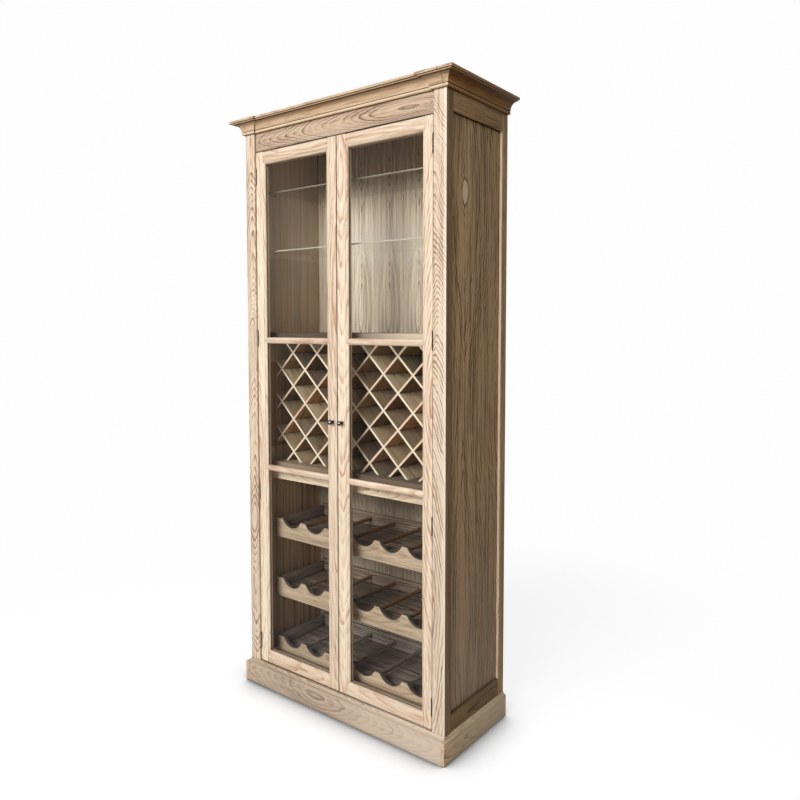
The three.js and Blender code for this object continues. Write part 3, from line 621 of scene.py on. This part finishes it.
def add_carcass():
    # Cornice front: its bands of painted highlight and shade, and a painted shade line at its joint
    crown = wood_for("cornice_front", "cornice", "X", shift=(0.2, 0.12, 0.04), taper=0.07, line=0.6,
                     seams=[("X", CORNICE_JOINT, 2.0, 0.003, 0.9)], bands=CROWN_BANDS)
    figures = {
        "left": dict(pith=(-0.468, POST_FRONT + 0.03, 0.7), taper=0.16, ring=0.007, line=1.3, wave=0.04,
                     knot=(-0.478, POST_FRONT, 1.49), knot_size=0.035, swell=(0.006, 0.42)),
        # painted highlight: the right post pales towards its outer edge
        "right": dict(pith=(0.446, POST_FRONT + 0.01, 0.45), taper=0.7, ring=0.012, line=1.8, eye=0.6,
                      wave=0.12, knot=(0.461, POST_FRONT, 2.04), knot_size=0.022, limed=0.6,
                      fade=("X", 0.484, 0.498, 0.65, (255, 248, 232))),
    }
    for hand, side in HANDS.items():
        cheek = dict(shift=(-side * 0.02, 0.08, 0.4), taper=0.03, line=0.6)
        rail = dict(shift=(-side * 0.05, 0.1, 0.03), taper=0.05, line=0.5)
        post_wood = oak(f"front_post_{hand}_oak", "front", "Z", crease_depth=0.25, **figures[hand])
        front, rear = f"front_post_{hand}", f"rear_post_{hand}"
        dress(front, post_wood, others=[(outward(side), wood_for(front, "cheek", "Z", **cheek))])
        # painted light: the rear post's front face takes a paler copy of the front oak, with no painted
        # corner shade
        dress(rear, wood_for(rear, "front", "Z", crease_depth=0.0, shade=1.08, **cheek),
              others=[(sideways, wood_for(rear, "side", "Z", **cheek))])
        for part, shade in (("side_top_rail", 1.0), ("side_bottom_rail", 0.76)):
            node = f"{part}_{hand}"
            dress(node, wood_for(node, "side_rail", "Y", shade=shade, **rail))
        panel_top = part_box(f"side_top_rail_{hand}")[0][2]
        node = f"side_panel_{hand}"
        # painted shadow along the panel's top edge under the rail, and painted bounce light from the floor
        # making it greyer and paler towards its foot
        panel = oak(node + "_oak", "side", "Z", (side * (SIDE_FACE - 0.008), -0.05, 1.987), ring=0.015,
                    taper=0.0, swell=(0.05, 1.5), line=1.15, streak=0.35, limed=0.7, wave=0.03, fibre=1.5,
                    fineness=165, flame=1.0, heart=1.0, knot=(side * SIDE_FACE, -0.045, 1.976),
                    knot_size=0.037, stretch=0.45, seam_shade=0.4,
                    seams=[("Z", panel_top, 5.0, 0.008, 1.4)],
                    fade=("Z", 1.1, 0.25, 0.36, (186, 166, 152)))
        dress(node, panel)
        # painted light: the plinth's side pales towards the back
        node = f"plinth_{hand}"
        dress(node, wood_for(node, "plinth_side", "Y", shift=(-side * 0.07, 0.1, 0.0), taper=0.09,
                             fade=("Y", -0.2, 0.15, 0.6, (255, 234, 198))))
        # Cornice returns: painted highlights and shade in bands, painted shade on the underside
        node = f"cornice_{hand}"
        returned = wood_for(node, "side_cornice", "Y", shift=(-side * 0.1, 0.2, 0.05), taper=0.05,
                            bands=SIDE_CROWN_BANDS)
        dress(node, returned, others=[(frontward, crown), (downward, wood_for(node, "underside_shade", "Y"))])
    left_end, _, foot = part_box("frieze_rail")[0]
    # painted shade: dark lines at the frieze's foot and left end, where the gaps lie in shade
    frieze = oak("frieze_rail_oak", "frieze", "X", (0.235, RAIL_FRONT + 0.02, 2.2615), ring=0.0074,
                 taper=0.19, eye=0.02, swell=(0.002, 0.3), wave=0.03, line=1.15, limed=0.6,
                 knot=(0.38, RAIL_FRONT, 2.263), knot_size=0.03,
                 seams=[("Z", foot, 1.0, 0.006, 1.4), ("X", left_end, 2.0, 0.006, 1.3)], seam_shade=0.25)
    # painted shade: the frieze's top and bottom faces are darkened to half, as in the gaps
    gap = wood_for("frieze_rail", "frieze", "X", shade=0.5, crease_depth=1.0)
    dress("frieze_rail", frieze, 0.0016, others=[(level, gap)])
    # painted shade: the cornice front's ends take the darker cheek copy, its underside the underside_shade
    # copy
    ends, underside = wood_for("cornice_front", "cheek", "Z"), wood_for("cornice_front", "underside_shade", "X")
    dress("cornice_front", crown, others=[(sideways, ends), (downward, underside)])
    # painted shade: the back darkens towards its foot, below the rack
    leaves = oak("back_panel_oak", "back", "Z", (-0.0385, 0.205, 1.578), ring=0.0062, taper=0.0, eye=0.006,
                 swell=(0.02, 0.74), wave=0.035, line=0.8, streak=0.35, limed=0.7, fibre=1.2, fineness=130,
                 flame=0.3, crease_depth=0, leaf=(-0.1155, 0.153),
                 seams=[("X", -0.1155, 0.03825, 0.0025, 0.55)], fade=("Z", 0.95, 0.85, 0.6, (110, 88, 62)),
                 bands=BACK_BANDS)
    plain = wood_for("back_panel", "inside", "Z", shift=(0.1, 0.08, 0.2), taper=0.03, ring=0.009,
                     seams=[("X", 0.0, 0.11, 0.002, 0.9)])
    dress("back_panel", leaves, others=[(rearward, plain)])
    # painted light: the plinth front pales to the right, the rack top to the left, the display floor to the
    # right
    for node, finish, along, figure in (
        ("plinth_front", "plinth", "X", dict(shift=(-0.1, 0.06, 0.01), taper=0.14, line=0.8,
                                             fade=("X", -0.2, 0.5, 0.55, (232, 216, 196)))),
        ("rack_apron", "apron", "X", dict(shift=(-0.1, 0.03, 0.0), taper=0.1)),
        ("rack_top", "divider", "X", dict(shift=(0.1, 0.0, -0.08),
                                          fade=("X", 0.1, -0.35, 0.7, (168, 148, 124)))),
        ("display_floor", "divider", "X", dict(shift=(-0.1, 0.0, -0.08), shade=0.86,
                                               fade=("X", -0.1, 0.4, 0.9, (240, 222, 196)))),
        ("floor_board", "tray_face", "X", dict(shift=(0.1, 0.0, -0.08))),
        ("plinth_back", "inside", "X", dict(shift=(0.0, -0.08, 0.0))),
        ("top_board", "inside", "X", dict(shift=(0.0, 0.0, -0.1))),
    ):
        dress(node, wood_for(node, finish, along, **figure))


def add_doors():
    figures = {
        "left_door_hinge_stile": dict(shift=(-0.03, 0.03, -0.2), taper=0.1, line=0.7, shade=1.08),
        "left_door_lock_stile": dict(shift=(0.03, 0.03, 0.5), taper=0.07, line=0.85, flame=0.6),
        "left_door_top_rail": dict(shift=(0.05, 0.02, 0.02), taper=0.08, line=0.7),
        "left_door_bottom_rail": dict(shift=(-0.1, 0.03, 0.0), taper=0.1, line=0.5, flame=0.3),
        "left_door_lower_bar": dict(shift=(0.1, 0.03, 0.0), taper=0.08, line=0.7),
        "left_door_upper_bar": dict(shift=(-0.1, 0.03, 0.0), taper=0.08, line=0.7),
        # painted shade: a dark line along the right hinge stile's outer edge, beside the post
        "right_door_hinge_stile": dict(shift=(0.035, 0.03, 0.1), taper=0.15, line=1.0, flame=0.6,
                                       limed=0.5, shade=1.02, seams=[("X", 0.4418, 2.0, 0.004, 0.95)]),
        "right_door_lock_stile": dict(shift=(-0.004, 0.02, 0.9), taper=0.11, line=0.9, eye=0.02,
                                      swell=(0.004, 0.55), limed=0.7, shade=1.05),
        "right_door_top_rail": dict(shift=(-0.1, 0.03, -0.02), taper=0.06, line=0.5),
        "right_door_bottom_rail": dict(shift=(0.1, 0.03, 0.01), taper=0.1, line=0.45, flame=0.25,
                                       limed=0.7),
        "right_door_lower_bar": dict(shift=(-0.1, 0.03, 0.0), taper=0.1, line=0.45, flame=0.3, shade=1.05),
        "right_door_upper_bar": dict(shift=(0.1, 0.03, 0.0), taper=0.06, line=0.35),
    }
    for node, figure in figures.items():
        along = "Z" if node.endswith("stile") else "X"
        # the frames' narrow edges take full painted corner shade, dark in the gaps when shut
        narrow = wood_for(node, "stile", along, line=0.5, crease_depth=1.0)
        others = [(sideways if along == "Z" else level, narrow)]
        low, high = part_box(node)
        # painted shade: dark lines along the edges that meet the gaps round the doors
        if node == "left_door_hinge_stile":
            figure.update(seams=[("X", low[0], 2.0, 0.003, 1.0)])
        elif node.endswith("lock_stile"):
            figure.update(seams=[("X", min(low[0], high[0], key=abs), 2.0, 0.0033, 1.2)], seam_shade=0.35)
        elif node.endswith("top_rail"):
            figure.update(seams=[("Z", low[2], 2.0, 0.005, 0.9), ("Z", high[2], 2.0, 0.003, 1.4)])
        elif node.endswith("bar"):
            others.append((rearward, wood_for(node, "stile", along, line=0.5, crease_depth=0.0)))
        dress(node, wood_for(node, "stile", along, ring=0.0085, **figure), 0.0011, others=others)
    for hand in HANDS:
        nodes[f"{hand}_door_glass"].data.materials.clear()
        nodes[f"{hand}_door_glass"].data.materials.append(PANE)


# Lattice: boards on their diagonals, halved into each other where they cross
LATTICE_FRONT = -0.067
LATTICE_BACK = 0.1907
LATTICE_STEP = 0.0697
LATTICE_BOARD = 0.0085
LATTICE_LEVEL = 1.192
LATTICE_EASE = 0.0005
LATTICE_SIDE = 4        # boards on each side of the middle one
LATTICE_TRIED = 12      # how far out a crossing board is looked for
LATTICE_REACH = 1.2     # half a board's length, before it is cut to the opening
BOARD_SHADES = (1.02, 0.7, 1.2, 0.88)


def lattice_board(index, lean, low, high):
    """One board as its outline, notched from the front or from behind, then cut to the opening."""
    middle_y = (LATTICE_FRONT + LATTICE_BACK) / 2
    half = LATTICE_BOARD / 2
    reach = LATTICE_REACH
    crossings = []
    for other in range(-LATTICE_TRIED, LATTICE_TRIED + 1):
        along = (other - index) * LATTICE_STEP
        up = LATTICE_LEVEL + (other + index) * LATTICE_STEP
        if abs(along) < high.x - half and low.z + half < up < high.z - half:
            crossings.append(along * math.sqrt(2))
    front, back = LATTICE_FRONT, LATTICE_BACK
    edge, far = (front, back) if lean > 0 else (back, front)
    outline = [(-reach, edge)]
    for s in crossings:
        outline += [(s - half, edge), (s - half, middle_y), (s + half, middle_y), (s + half, edge)]
    outline += [(reach, edge), (reach, far), (-reach, far)]
    bm = bmesh.new()
    face = bm.faces.new([bm.verts.new((s, y, -half)) for s, y in outline])
    grown = bmesh.ops.extrude_face_region(bm, geom=[face])
    lifted = [v for v in grown["geom"] if isinstance(v, bmesh.types.BMVert)]
    bmesh.ops.translate(bm, vec=(0, 0, LATTICE_BOARD), verts=lifted)
    bmesh.ops.recalc_face_normals(bm, faces=bm.faces)
    ease(bm, LATTICE_EASE, 1)
    turn = Matrix.Rotation(-lean * math.pi / 4, 4, "Y")
    lift = Matrix.Translation((0, 0, LATTICE_LEVEL + 2 * index * LATTICE_STEP))
    bmesh.ops.transform(bm, matrix=lift @ turn, verts=bm.verts)
    for point, normal in ((low, (-1, 0, 0)), (low, (0, 0, -1)), (high, (1, 0, 0)), (high, (0, 0, 1))):
        geom = bm.verts[:] + bm.edges[:] + bm.faces[:]
        cut = bmesh.ops.bisect_plane(bm, geom=geom, plane_co=point, plane_no=normal, clear_outer=True)
        rim = [e for e in cut["geom_cut"] if isinstance(e, bmesh.types.BMEdge)]
        if rim:
            bmesh.ops.holes_fill(bm, edges=rim)
    return bm


def add_lattice():
    low, high = (Vector(corner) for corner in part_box("wine_lattice"))
    first = True
    for lean in (1, -1):
        name = "rising" if lean > 0 else "falling"
        along = (0, lean * math.pi / 4 - math.pi / 2, 0)
        pith = (0.3, 0.02, LATTICE_LEVEL + 0.1)
        # painted light: the falling boards take paler copies of the oak, the rising boards the darker ones
        front, finish = ("lattice", "cell") if lean > 0 else ("lattice_lit", "cell_lit")
        edge = oak(f"lattice_edge_{name}_oak", front, along, pith, line=0.5)
        faces = [oak(f"lattice_{name}_{number}_oak", finish, along, pith, line=0.5, shade=shade)
                 for number, shade in enumerate(BOARD_SHADES, 1)]
        for index in range(-LATTICE_SIDE, LATTICE_SIDE + 1):
            bm = lattice_board(index, lean, low, high)
            if not bm.faces:
                bm.free()
                continue
            for face in bm.faces:
                face.material_index = 0 if face.normal.y < -0.5 else 1
            woods = [edge, faces[3 * index % len(faces)]]
            keep(f"lattice_board_{name}_{index + LATTICE_SIDE + 1}", bm, "cabinet", woods,
                 ["wine_lattice"] if first else ())
            first = False


# Trays
TRAY_HALF = 0.424
SIDE_BOARD = 0.012
REAR_BOARD = 0.012
SIDE_RISE = 0.032
BOTTOM_DROP = 0.0135
BOARD_EASE = 0.0015
FACE_FOOT = 0.004
RODS = 5
ROD_RADIUS = 0.0075
ROD_STEP = 0.1324
ROD_RISE = 0.0155
ROD_HOUSING = 0.004
VALLEYS = {1: 0.6638, 2: 0.4071, 3: 0.1504}     # the scallops' lowest points, above the ground


def add_trays():
    for number, valley in VALLEYS.items():
        body = f"tray_{number}"
        front_node, box_node = f"tray_{number}_front", f"tray_{number}_box"
        # painted shade: the third tray's face darkens towards the left; each face's shade scales its
        # colours
        painted_light_and_shade = dict(shade=0.98)
        if number == 3:
            painted_light_and_shade = dict(shade=1.04, fade=("X", 0.05, -0.35, 0.6, (150, 132, 110)))
        face = wood_for(front_node, "tray_face", "X", shift=(0.1 * number - 0.2, 0.06, 0.01), taper=0.07,
                        line=0.5, ring=0.0045, **painted_light_and_shade)
        edge = wood_for(front_node, "scallop", "X", shift=(0.1, 0.05, 0.0))
        edge.name = f"tray_{number}_scallop_oak"
        bm = copied(front_node)
        ease(bm, 0.001)
        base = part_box(front_node)[0][2] + FACE_FOOT
        for polygon in bm.faces:
            if abs(polygon.normal.y) < 0.6 and polygon.calc_center_median().z > base:
                polygon.material_index = 1
        keep(front_node + "_eased", bm, body, [face, edge], [front_node])

        low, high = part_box(box_node)
        body_finish, rod_finish = ("tray_low", "tray_low") if number == 3 else ("tray_body", "rod")
        dark = wood_for(box_node, body_finish, "X", shift=(0.1 * number, 0.0, -0.07), taper=0.05, line=1.2,
                        flame=0.8, crease_depth=1.0)
        pale = wood_for(box_node, body_finish, "Y", shift=(0.05, 0.0, -0.07), taper=0.05)
        pale.name = f"tray_{number}_side_oak"
        rod_wood = wood_for(box_node, rod_finish, "Y", shift=(0.0, 0.0, -0.05), taper=0.04)
        rod_wood.name = f"tray_{number}_rod_oak"
        bottom_top = valley - BOTTOM_DROP
        back_face = high[1] - REAR_BOARD
        bottom = block((-TRAY_HALF + SIDE_BOARD, low[1], low[2]),
                       (TRAY_HALF - SIDE_BOARD, back_face, bottom_top))
        keep(f"tray_{number}_bottom", bottom, body, dark, [box_node])
        rear = block((-TRAY_HALF, back_face, low[2]), (TRAY_HALF, high[1], high[2]), BOARD_EASE)
        keep(f"tray_{number}_rear", rear, body, dark)
        for hand, side in HANDS.items():
            inner, outer = sorted((side * TRAY_HALF, side * (TRAY_HALF - SIDE_BOARD)))
            board = block((inner, low[1], low[2]), (outer, back_face, valley + SIDE_RISE), BOARD_EASE)
            keep(f"tray_{number}_side_{hand}", board, body, pale)
        length = back_face + ROD_HOUSING - low[1]
        lay = Matrix.Rotation(-math.pi / 2, 4, "X")
        for i in range(RODS):
            place = Matrix.Translation(((i - RODS // 2) * ROD_STEP, low[1], valley + ROD_RISE)) @ lay
            bm = turned([(0, 0), (ROD_RADIUS, 0), (ROD_RADIUS, length), (0, length)], 24, place)
            keep(f"tray_{number}_rod_{i + 1}", bm, body, rod_wood)


# Linings: painted shade beside the lattice, and a greyer, paler tint from the display floor upwards as
# painted light
LINING_BANDS = (
    (1.0, 1.36, 0.45, 0.3, (58, 40, 24)),
    (1.36, 1.52, 0.3, 0.4, (196, 186, 166)),
    (1.52, 1.8, 0.4, 0.6, (184, 178, 168)),
    (1.8, 2.4, 0.6, 0.6, (206, 199, 190)),
)
LINING_INNER, LINING_OUTER = 0.4476, 0.4656

# Runners under the trays, pins under the glass shelves
RUNNER_INNER = 0.414
RUNNER_FRONT, RUNNER_BACK = -0.075, 0.146
RUNNER_HEIGHT = 0.014
RUNNER_DROP = 0.0229        # a runner's top under its tray's valleys
FLOOR_TOP = 0.1203
PIN_ROWS = (-0.07, 0.151)
PIN_DROP = 0.0028


def add_linings():
    for hand, side in HANDS.items():
        node = f"inner_side_{hand}"
        # painted shade: each lining darkens towards its front edge
        wood = wood_for(node, "inside", "Z", shift=(side * 0.02, 0.4, 0.3), taper=0.01, ring=0.011,
                        line=0.5, fibre=1.5, fineness=130, crease_depth=0,
                        seams=[("Y", 0.0, 0.04, 0.0025, 0.8)],
                        fade=("Y", -0.02, -0.11, 0.42, (58, 42, 26)), bands=LINING_BANDS)
        bottom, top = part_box(node)
        near, far = sorted((side * LINING_INNER, side * LINING_OUTER))
        lining = block((near, bottom[1], bottom[2]), (far, top[1], top[2]))
        keep(f"lining_{hand}", lining, "cabinet", wood, [node])
        for number, valley in VALLEYS.items():
            rest = valley - RUNNER_DROP
            foot = max(rest - RUNNER_HEIGHT, FLOOR_TOP)
            inner, outer = sorted((side * RUNNER_INNER, side * LINING_INNER))
            runner = block((inner, RUNNER_FRONT, foot), (outer, RUNNER_BACK, rest))
            keep(f"runner_{number}_{hand}", runner, "cabinet", wood)
        for tier, shelf in enumerate(("lower", "upper"), 1):
            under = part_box(f"glass_shelf_{shelf}")[0][2]
            for spot, y in enumerate(PIN_ROWS, 1):
                point = Matrix.Translation((side * LINING_INNER, y, under - PIN_DROP))
                profile = [(0, 0), (0.005, 0), (0.005, 0.0012), (0.0025, 0.0015), (0.0025, 0.009),
                           (0, 0.009)]
                turn = Matrix.Rotation(-side * math.pi / 2, 4, "Y")
                pin = turned(profile, 16, point @ turn)
                keep(f"shelf_pin_{hand}_{tier}_{spot}", pin, "cabinet", PIN_METAL)


# Hinges: knuckles on a pin with turned tips, and a leaf in the gap between post and door
KNUCKLES = 5
LEAF_FACE = 0.4473
LEAF_THICKNESS = 0.0008
LEAF_EASE = 0.0002


def add_hinges():
    for hand, side in HANDS.items():
        for number in range(1, 5):
            node = f"{hand}_hinge_{number}"
            low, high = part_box(node)
            radius = (high[0] - low[0]) / 2
            x = (low[0] + high[0]) / 2
            y = low[1] + radius
            length = high[2] - low[2]
            step = length / KNUCKLES
            profile = [(0, -0.0035), (radius * 0.5, -0.003), (radius * 0.8, -0.0015),
                       (radius * 0.6, -0.0002)]
            for k in range(KNUCKLES):
                start, end = k * step, (k + 1) * step
                profile += [(radius * 0.86, start + 0.0001), (radius, start + 0.0006),
                            (radius, end - 0.0006), (radius * 0.86, end - 0.0001)]
            profile += [(radius * 0.6, length + 0.0002), (radius * 0.8, length + 0.0015),
                        (radius * 0.5, length + 0.003), (0, length + 0.0035)]
            bm = turned(profile, 20, Matrix.Translation((x, y, low[2])))
            keep(node + "_barrel", bm, "cabinet", HINGE_METALS[hand], [node])
            inner, outer = sorted((side * LEAF_FACE, side * (LEAF_FACE - LEAF_THICKNESS)))
            leaf = block((inner, y, low[2]), (outer, high[1], high[2]), LEAF_EASE)
            keep(node + "_leaf", leaf, "cabinet", HINGE_METALS[hand])


# Knobs: a foot, a thin stem and a ball
KNOB_BALL = 0.0093
KNOB_STEM = 0.004
KNOB_NECK = 0.0045
KNOB_REACH = 0.027
KNOB_STEPS = 14
# Painted highlight on each knob ball, towards this side of its centre
HIGHLIGHT_SIDE = Vector((0.64, -0.74, 0.24))


def highlight_spot(hand):
    """Where the painted highlight sits on the ball, on its front and a little up and to the right."""
    low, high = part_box(f"{hand}_door_knob")
    centre = Vector(((low[0] + high[0]) / 2, low[1] + KNOB_BALL, (low[2] + high[2]) / 2))
    return centre + HIGHLIGHT_SIDE.normalized() * KNOB_BALL


def add_knobs():
    for hand in HANDS:
        node = f"{hand}_door_knob"
        low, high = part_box(node)
        x, z = (low[0] + high[0]) / 2, (low[2] + high[2]) / 2
        ball, stem = KNOB_BALL, KNOB_STEM
        centre = KNOB_REACH - ball
        profile = [(0, 0), (0.007, 0), (0.0072, 0.0008), (0.0066, 0.0018), (0.005, 0.0024),
                   (stem, 0.0034), (stem, 0.0068)]
        start = math.atan2(-math.sqrt(ball**2 - KNOB_NECK**2), KNOB_NECK)
        for i in range(KNOB_STEPS + 1):
            angle = start + (math.pi / 2 - start) * i / KNOB_STEPS
            radius = ball * math.cos(angle) if i < KNOB_STEPS else 0
            profile.append((radius, centre + ball * math.sin(angle)))
        place = Matrix.Translation((x, high[1], z)) @ Matrix.Rotation(math.pi / 2, 4, "X")
        keep(node + "_turned", turned(profile, 40, place), f"{hand}_door", KNOB_METAL, [node])


def add_glass_shelves():
    for shelf in ("lower", "upper"):
        node = f"glass_shelf_{shelf}"
        bm = copied(node)
        ease(bm, 0.0012, 2)
        for face in bm.faces:
            if face.normal.y < -0.4:
                face.material_index = 1
        keep(node + "_polished", bm, "cabinet", [SHELF_GLASS, SHELF_EDGES[shelf]], [node])


# Studio: a white floor with a painted contact shadow from an occlusion node beside the lamp's own shadow, a
# wide soft lamp high in front, a weak even fill
BACKGROUND = 0.985
FLOOR_HALF = 40
UNSEEN_FLOOR = (0.5, 0.48, 0.45, 1)
SHADOW_SAMPLES = 16
SHADOW_REACH = 0.2
SHADOW_DARKEST = 0.1
SHADOW_WEIGHT = 4.0
SHADOW_CURVE = 2.2
FLOOR_GLOW = 0.85
FLOOR_LIT = 0.3
FLOOR_EDGE = (1.2, 2.6)
LAMP_TURN = math.radians(2)
LAMP_RISE = math.radians(22)
LAMP_DISTANCE = 12.0
LAMP_WIDTH = 9.0
LAMP_HEIGHT = 5.0
LAMP_POWER = 1230
LAMP_AIM = Vector((0, 0, 1.2))
FILL = 0.2


def add_stage():
    mesh = bpy.data.meshes.new("studio_floor")
    bm = bmesh.new()
    bmesh.ops.create_grid(bm, x_segments=1, y_segments=1, size=FLOOR_HALF)
    bm.to_mesh(mesh)
    bm.free()
    floor = bpy.data.objects.new("studio_floor", mesh)
    bpy.context.scene.collection.objects.link(floor)
    material = bpy.data.materials.new("studio_floor")
    material.use_nodes = True
    g = Graph(material.node_tree)
    tree = material.node_tree
    tree.nodes.remove(tree.nodes["Principled BSDF"])
    open_sky = g.node("AmbientOcclusion", {"Distance": SHADOW_REACH}, samples=SHADOW_SAMPLES).outputs["AO"]
    closed = g.math("POWER", g.minus(1.0, open_sky), SHADOW_CURVE)
    contact = g.math("MAXIMUM", g.minus(1.0, g.times(closed, SHADOW_WEIGHT)), SHADOW_DARKEST)
    tone = g.node("CombineColor", {"Red": contact, "Green": contact, "Blue": contact}).outputs[0]
    lit = g.node("BsdfDiffuse", {"Color": g.mix(FLOOR_LIT, (0, 0, 0, 1), tone)})
    glow = g.node("Emission", {"Color": tone, "Strength": FLOOR_GLOW})
    near = g.node("AddShader", {0: lit.outputs[0], 1: glow.outputs[0]})
    far = g.node("Emission", {"Color": (1, 1, 1, 1), "Strength": BACKGROUND})
    coords = g.node("TexCoord").outputs["Object"]
    distance = g.node("VectorMath", {0: coords}, operation="LENGTH").outputs["Value"]
    seen = g.node("MixShader", {0: g.spread(distance, *FLOOR_EDGE), 1: near.outputs[0], 2: far.outputs[0]})
    plain = g.node("BsdfDiffuse", {"Color": UNSEEN_FLOOR})
    path = g.node("LightPath").outputs
    mirrored = g.math("MAXIMUM", path["Is Glossy Ray"], path["Is Transmission Ray"])
    looked_at = g.math("MAXIMUM", path["Is Camera Ray"], mirrored)
    blend = g.node("MixShader", {0: looked_at, 1: plain.outputs[0], 2: seen.outputs[0]})
    g.feed(tree.nodes["Material Output"].inputs["Surface"], blend.outputs[0])
    mesh.materials.append(material)


def add_light():
    data = bpy.data.lights.new("key_lamp", "AREA")
    data.shape = "ELLIPSE"
    data.size = LAMP_WIDTH
    data.size_y = LAMP_HEIGHT
    data.energy = LAMP_POWER
    lamp = bpy.data.objects.new("key_lamp", data)
    bpy.context.scene.collection.objects.link(lamp)
    out = math.cos(LAMP_RISE)
    away = Vector((math.sin(LAMP_TURN) * out, -math.cos(LAMP_TURN) * out, math.sin(LAMP_RISE)))
    lamp.location = LAMP_AIM + away * LAMP_DISTANCE
    lamp.rotation_euler = away.to_track_quat("Z", "Y").to_euler()
    world = bpy.data.worlds.new("studio")
    bpy.context.scene.world = world
    world.use_nodes = True
    g = Graph(world.node_tree)
    fill = world.node_tree.nodes["Background"]
    fill.inputs["Color"].default_value = (1, 1, 1, 1)
    fill.inputs["Strength"].default_value = FILL
    white = g.node("Background", {"Color": (1, 1, 1, 1), "Strength": BACKGROUND})
    path = g.node("LightPath").outputs
    mirrored = g.math("MAXIMUM", path["Is Glossy Ray"], path["Is Transmission Ray"])
    seen = g.math("MAXIMUM", path["Is Camera Ray"], mirrored)
    blend = g.node("MixShader", {0: seen, 1: fill.outputs[0], 2: white.outputs[0]})
    g.feed(world.node_tree.nodes["World Output"].inputs["Surface"], blend.outputs[0])


# Painted light and shade: the left hinges get a paler, lit copy of the bronze, the right ones a dark,
# shaded copy
HINGE_METALS = {"left": metal("hinge_bronze_lit", (88, 80, 72), 0.36, 0.6),
                "right": metal("hinge_bronze", (26, 22, 20), 0.5, 0.2)}
# Knob balls: dark bronze with a painted highlight round one spot on each
HIGHLIGHT_REACH = 0.0046
KNOB_METAL = highlighted_metal("knob_bronze", (34, 30, 29), (236, 233, 238), [highlight_spot(hand) for hand in HANDS],
                    HIGHLIGHT_REACH, 0.4)
PANE = glass("door_glass", (253, 253, 252), 1.12)
SHELF_GLASS = glass("shelf_glass", (252, 252, 250), 1.15, 0.9)
# Painted light and shade: the lower shelf's edge is a paler, lit copy, the upper one a darker, shaded copy
SHELF_EDGES = {"lower": satin("lower_shelf_edge", (204, 194, 176), 0.35),
               "upper": satin("upper_shelf_edge", (140, 132, 118), 0.35)}
PIN_METAL = metal("pin_nickel", (120, 108, 92), 0.35)

add_camera()
add_carcass()
add_doors()
add_lattice()
add_trays()
add_linings()
add_hinges()
add_knobs()
add_glass_shelves()
add_stage()
add_light()
bpy.context.scene.view_settings.view_transform = "Standard"
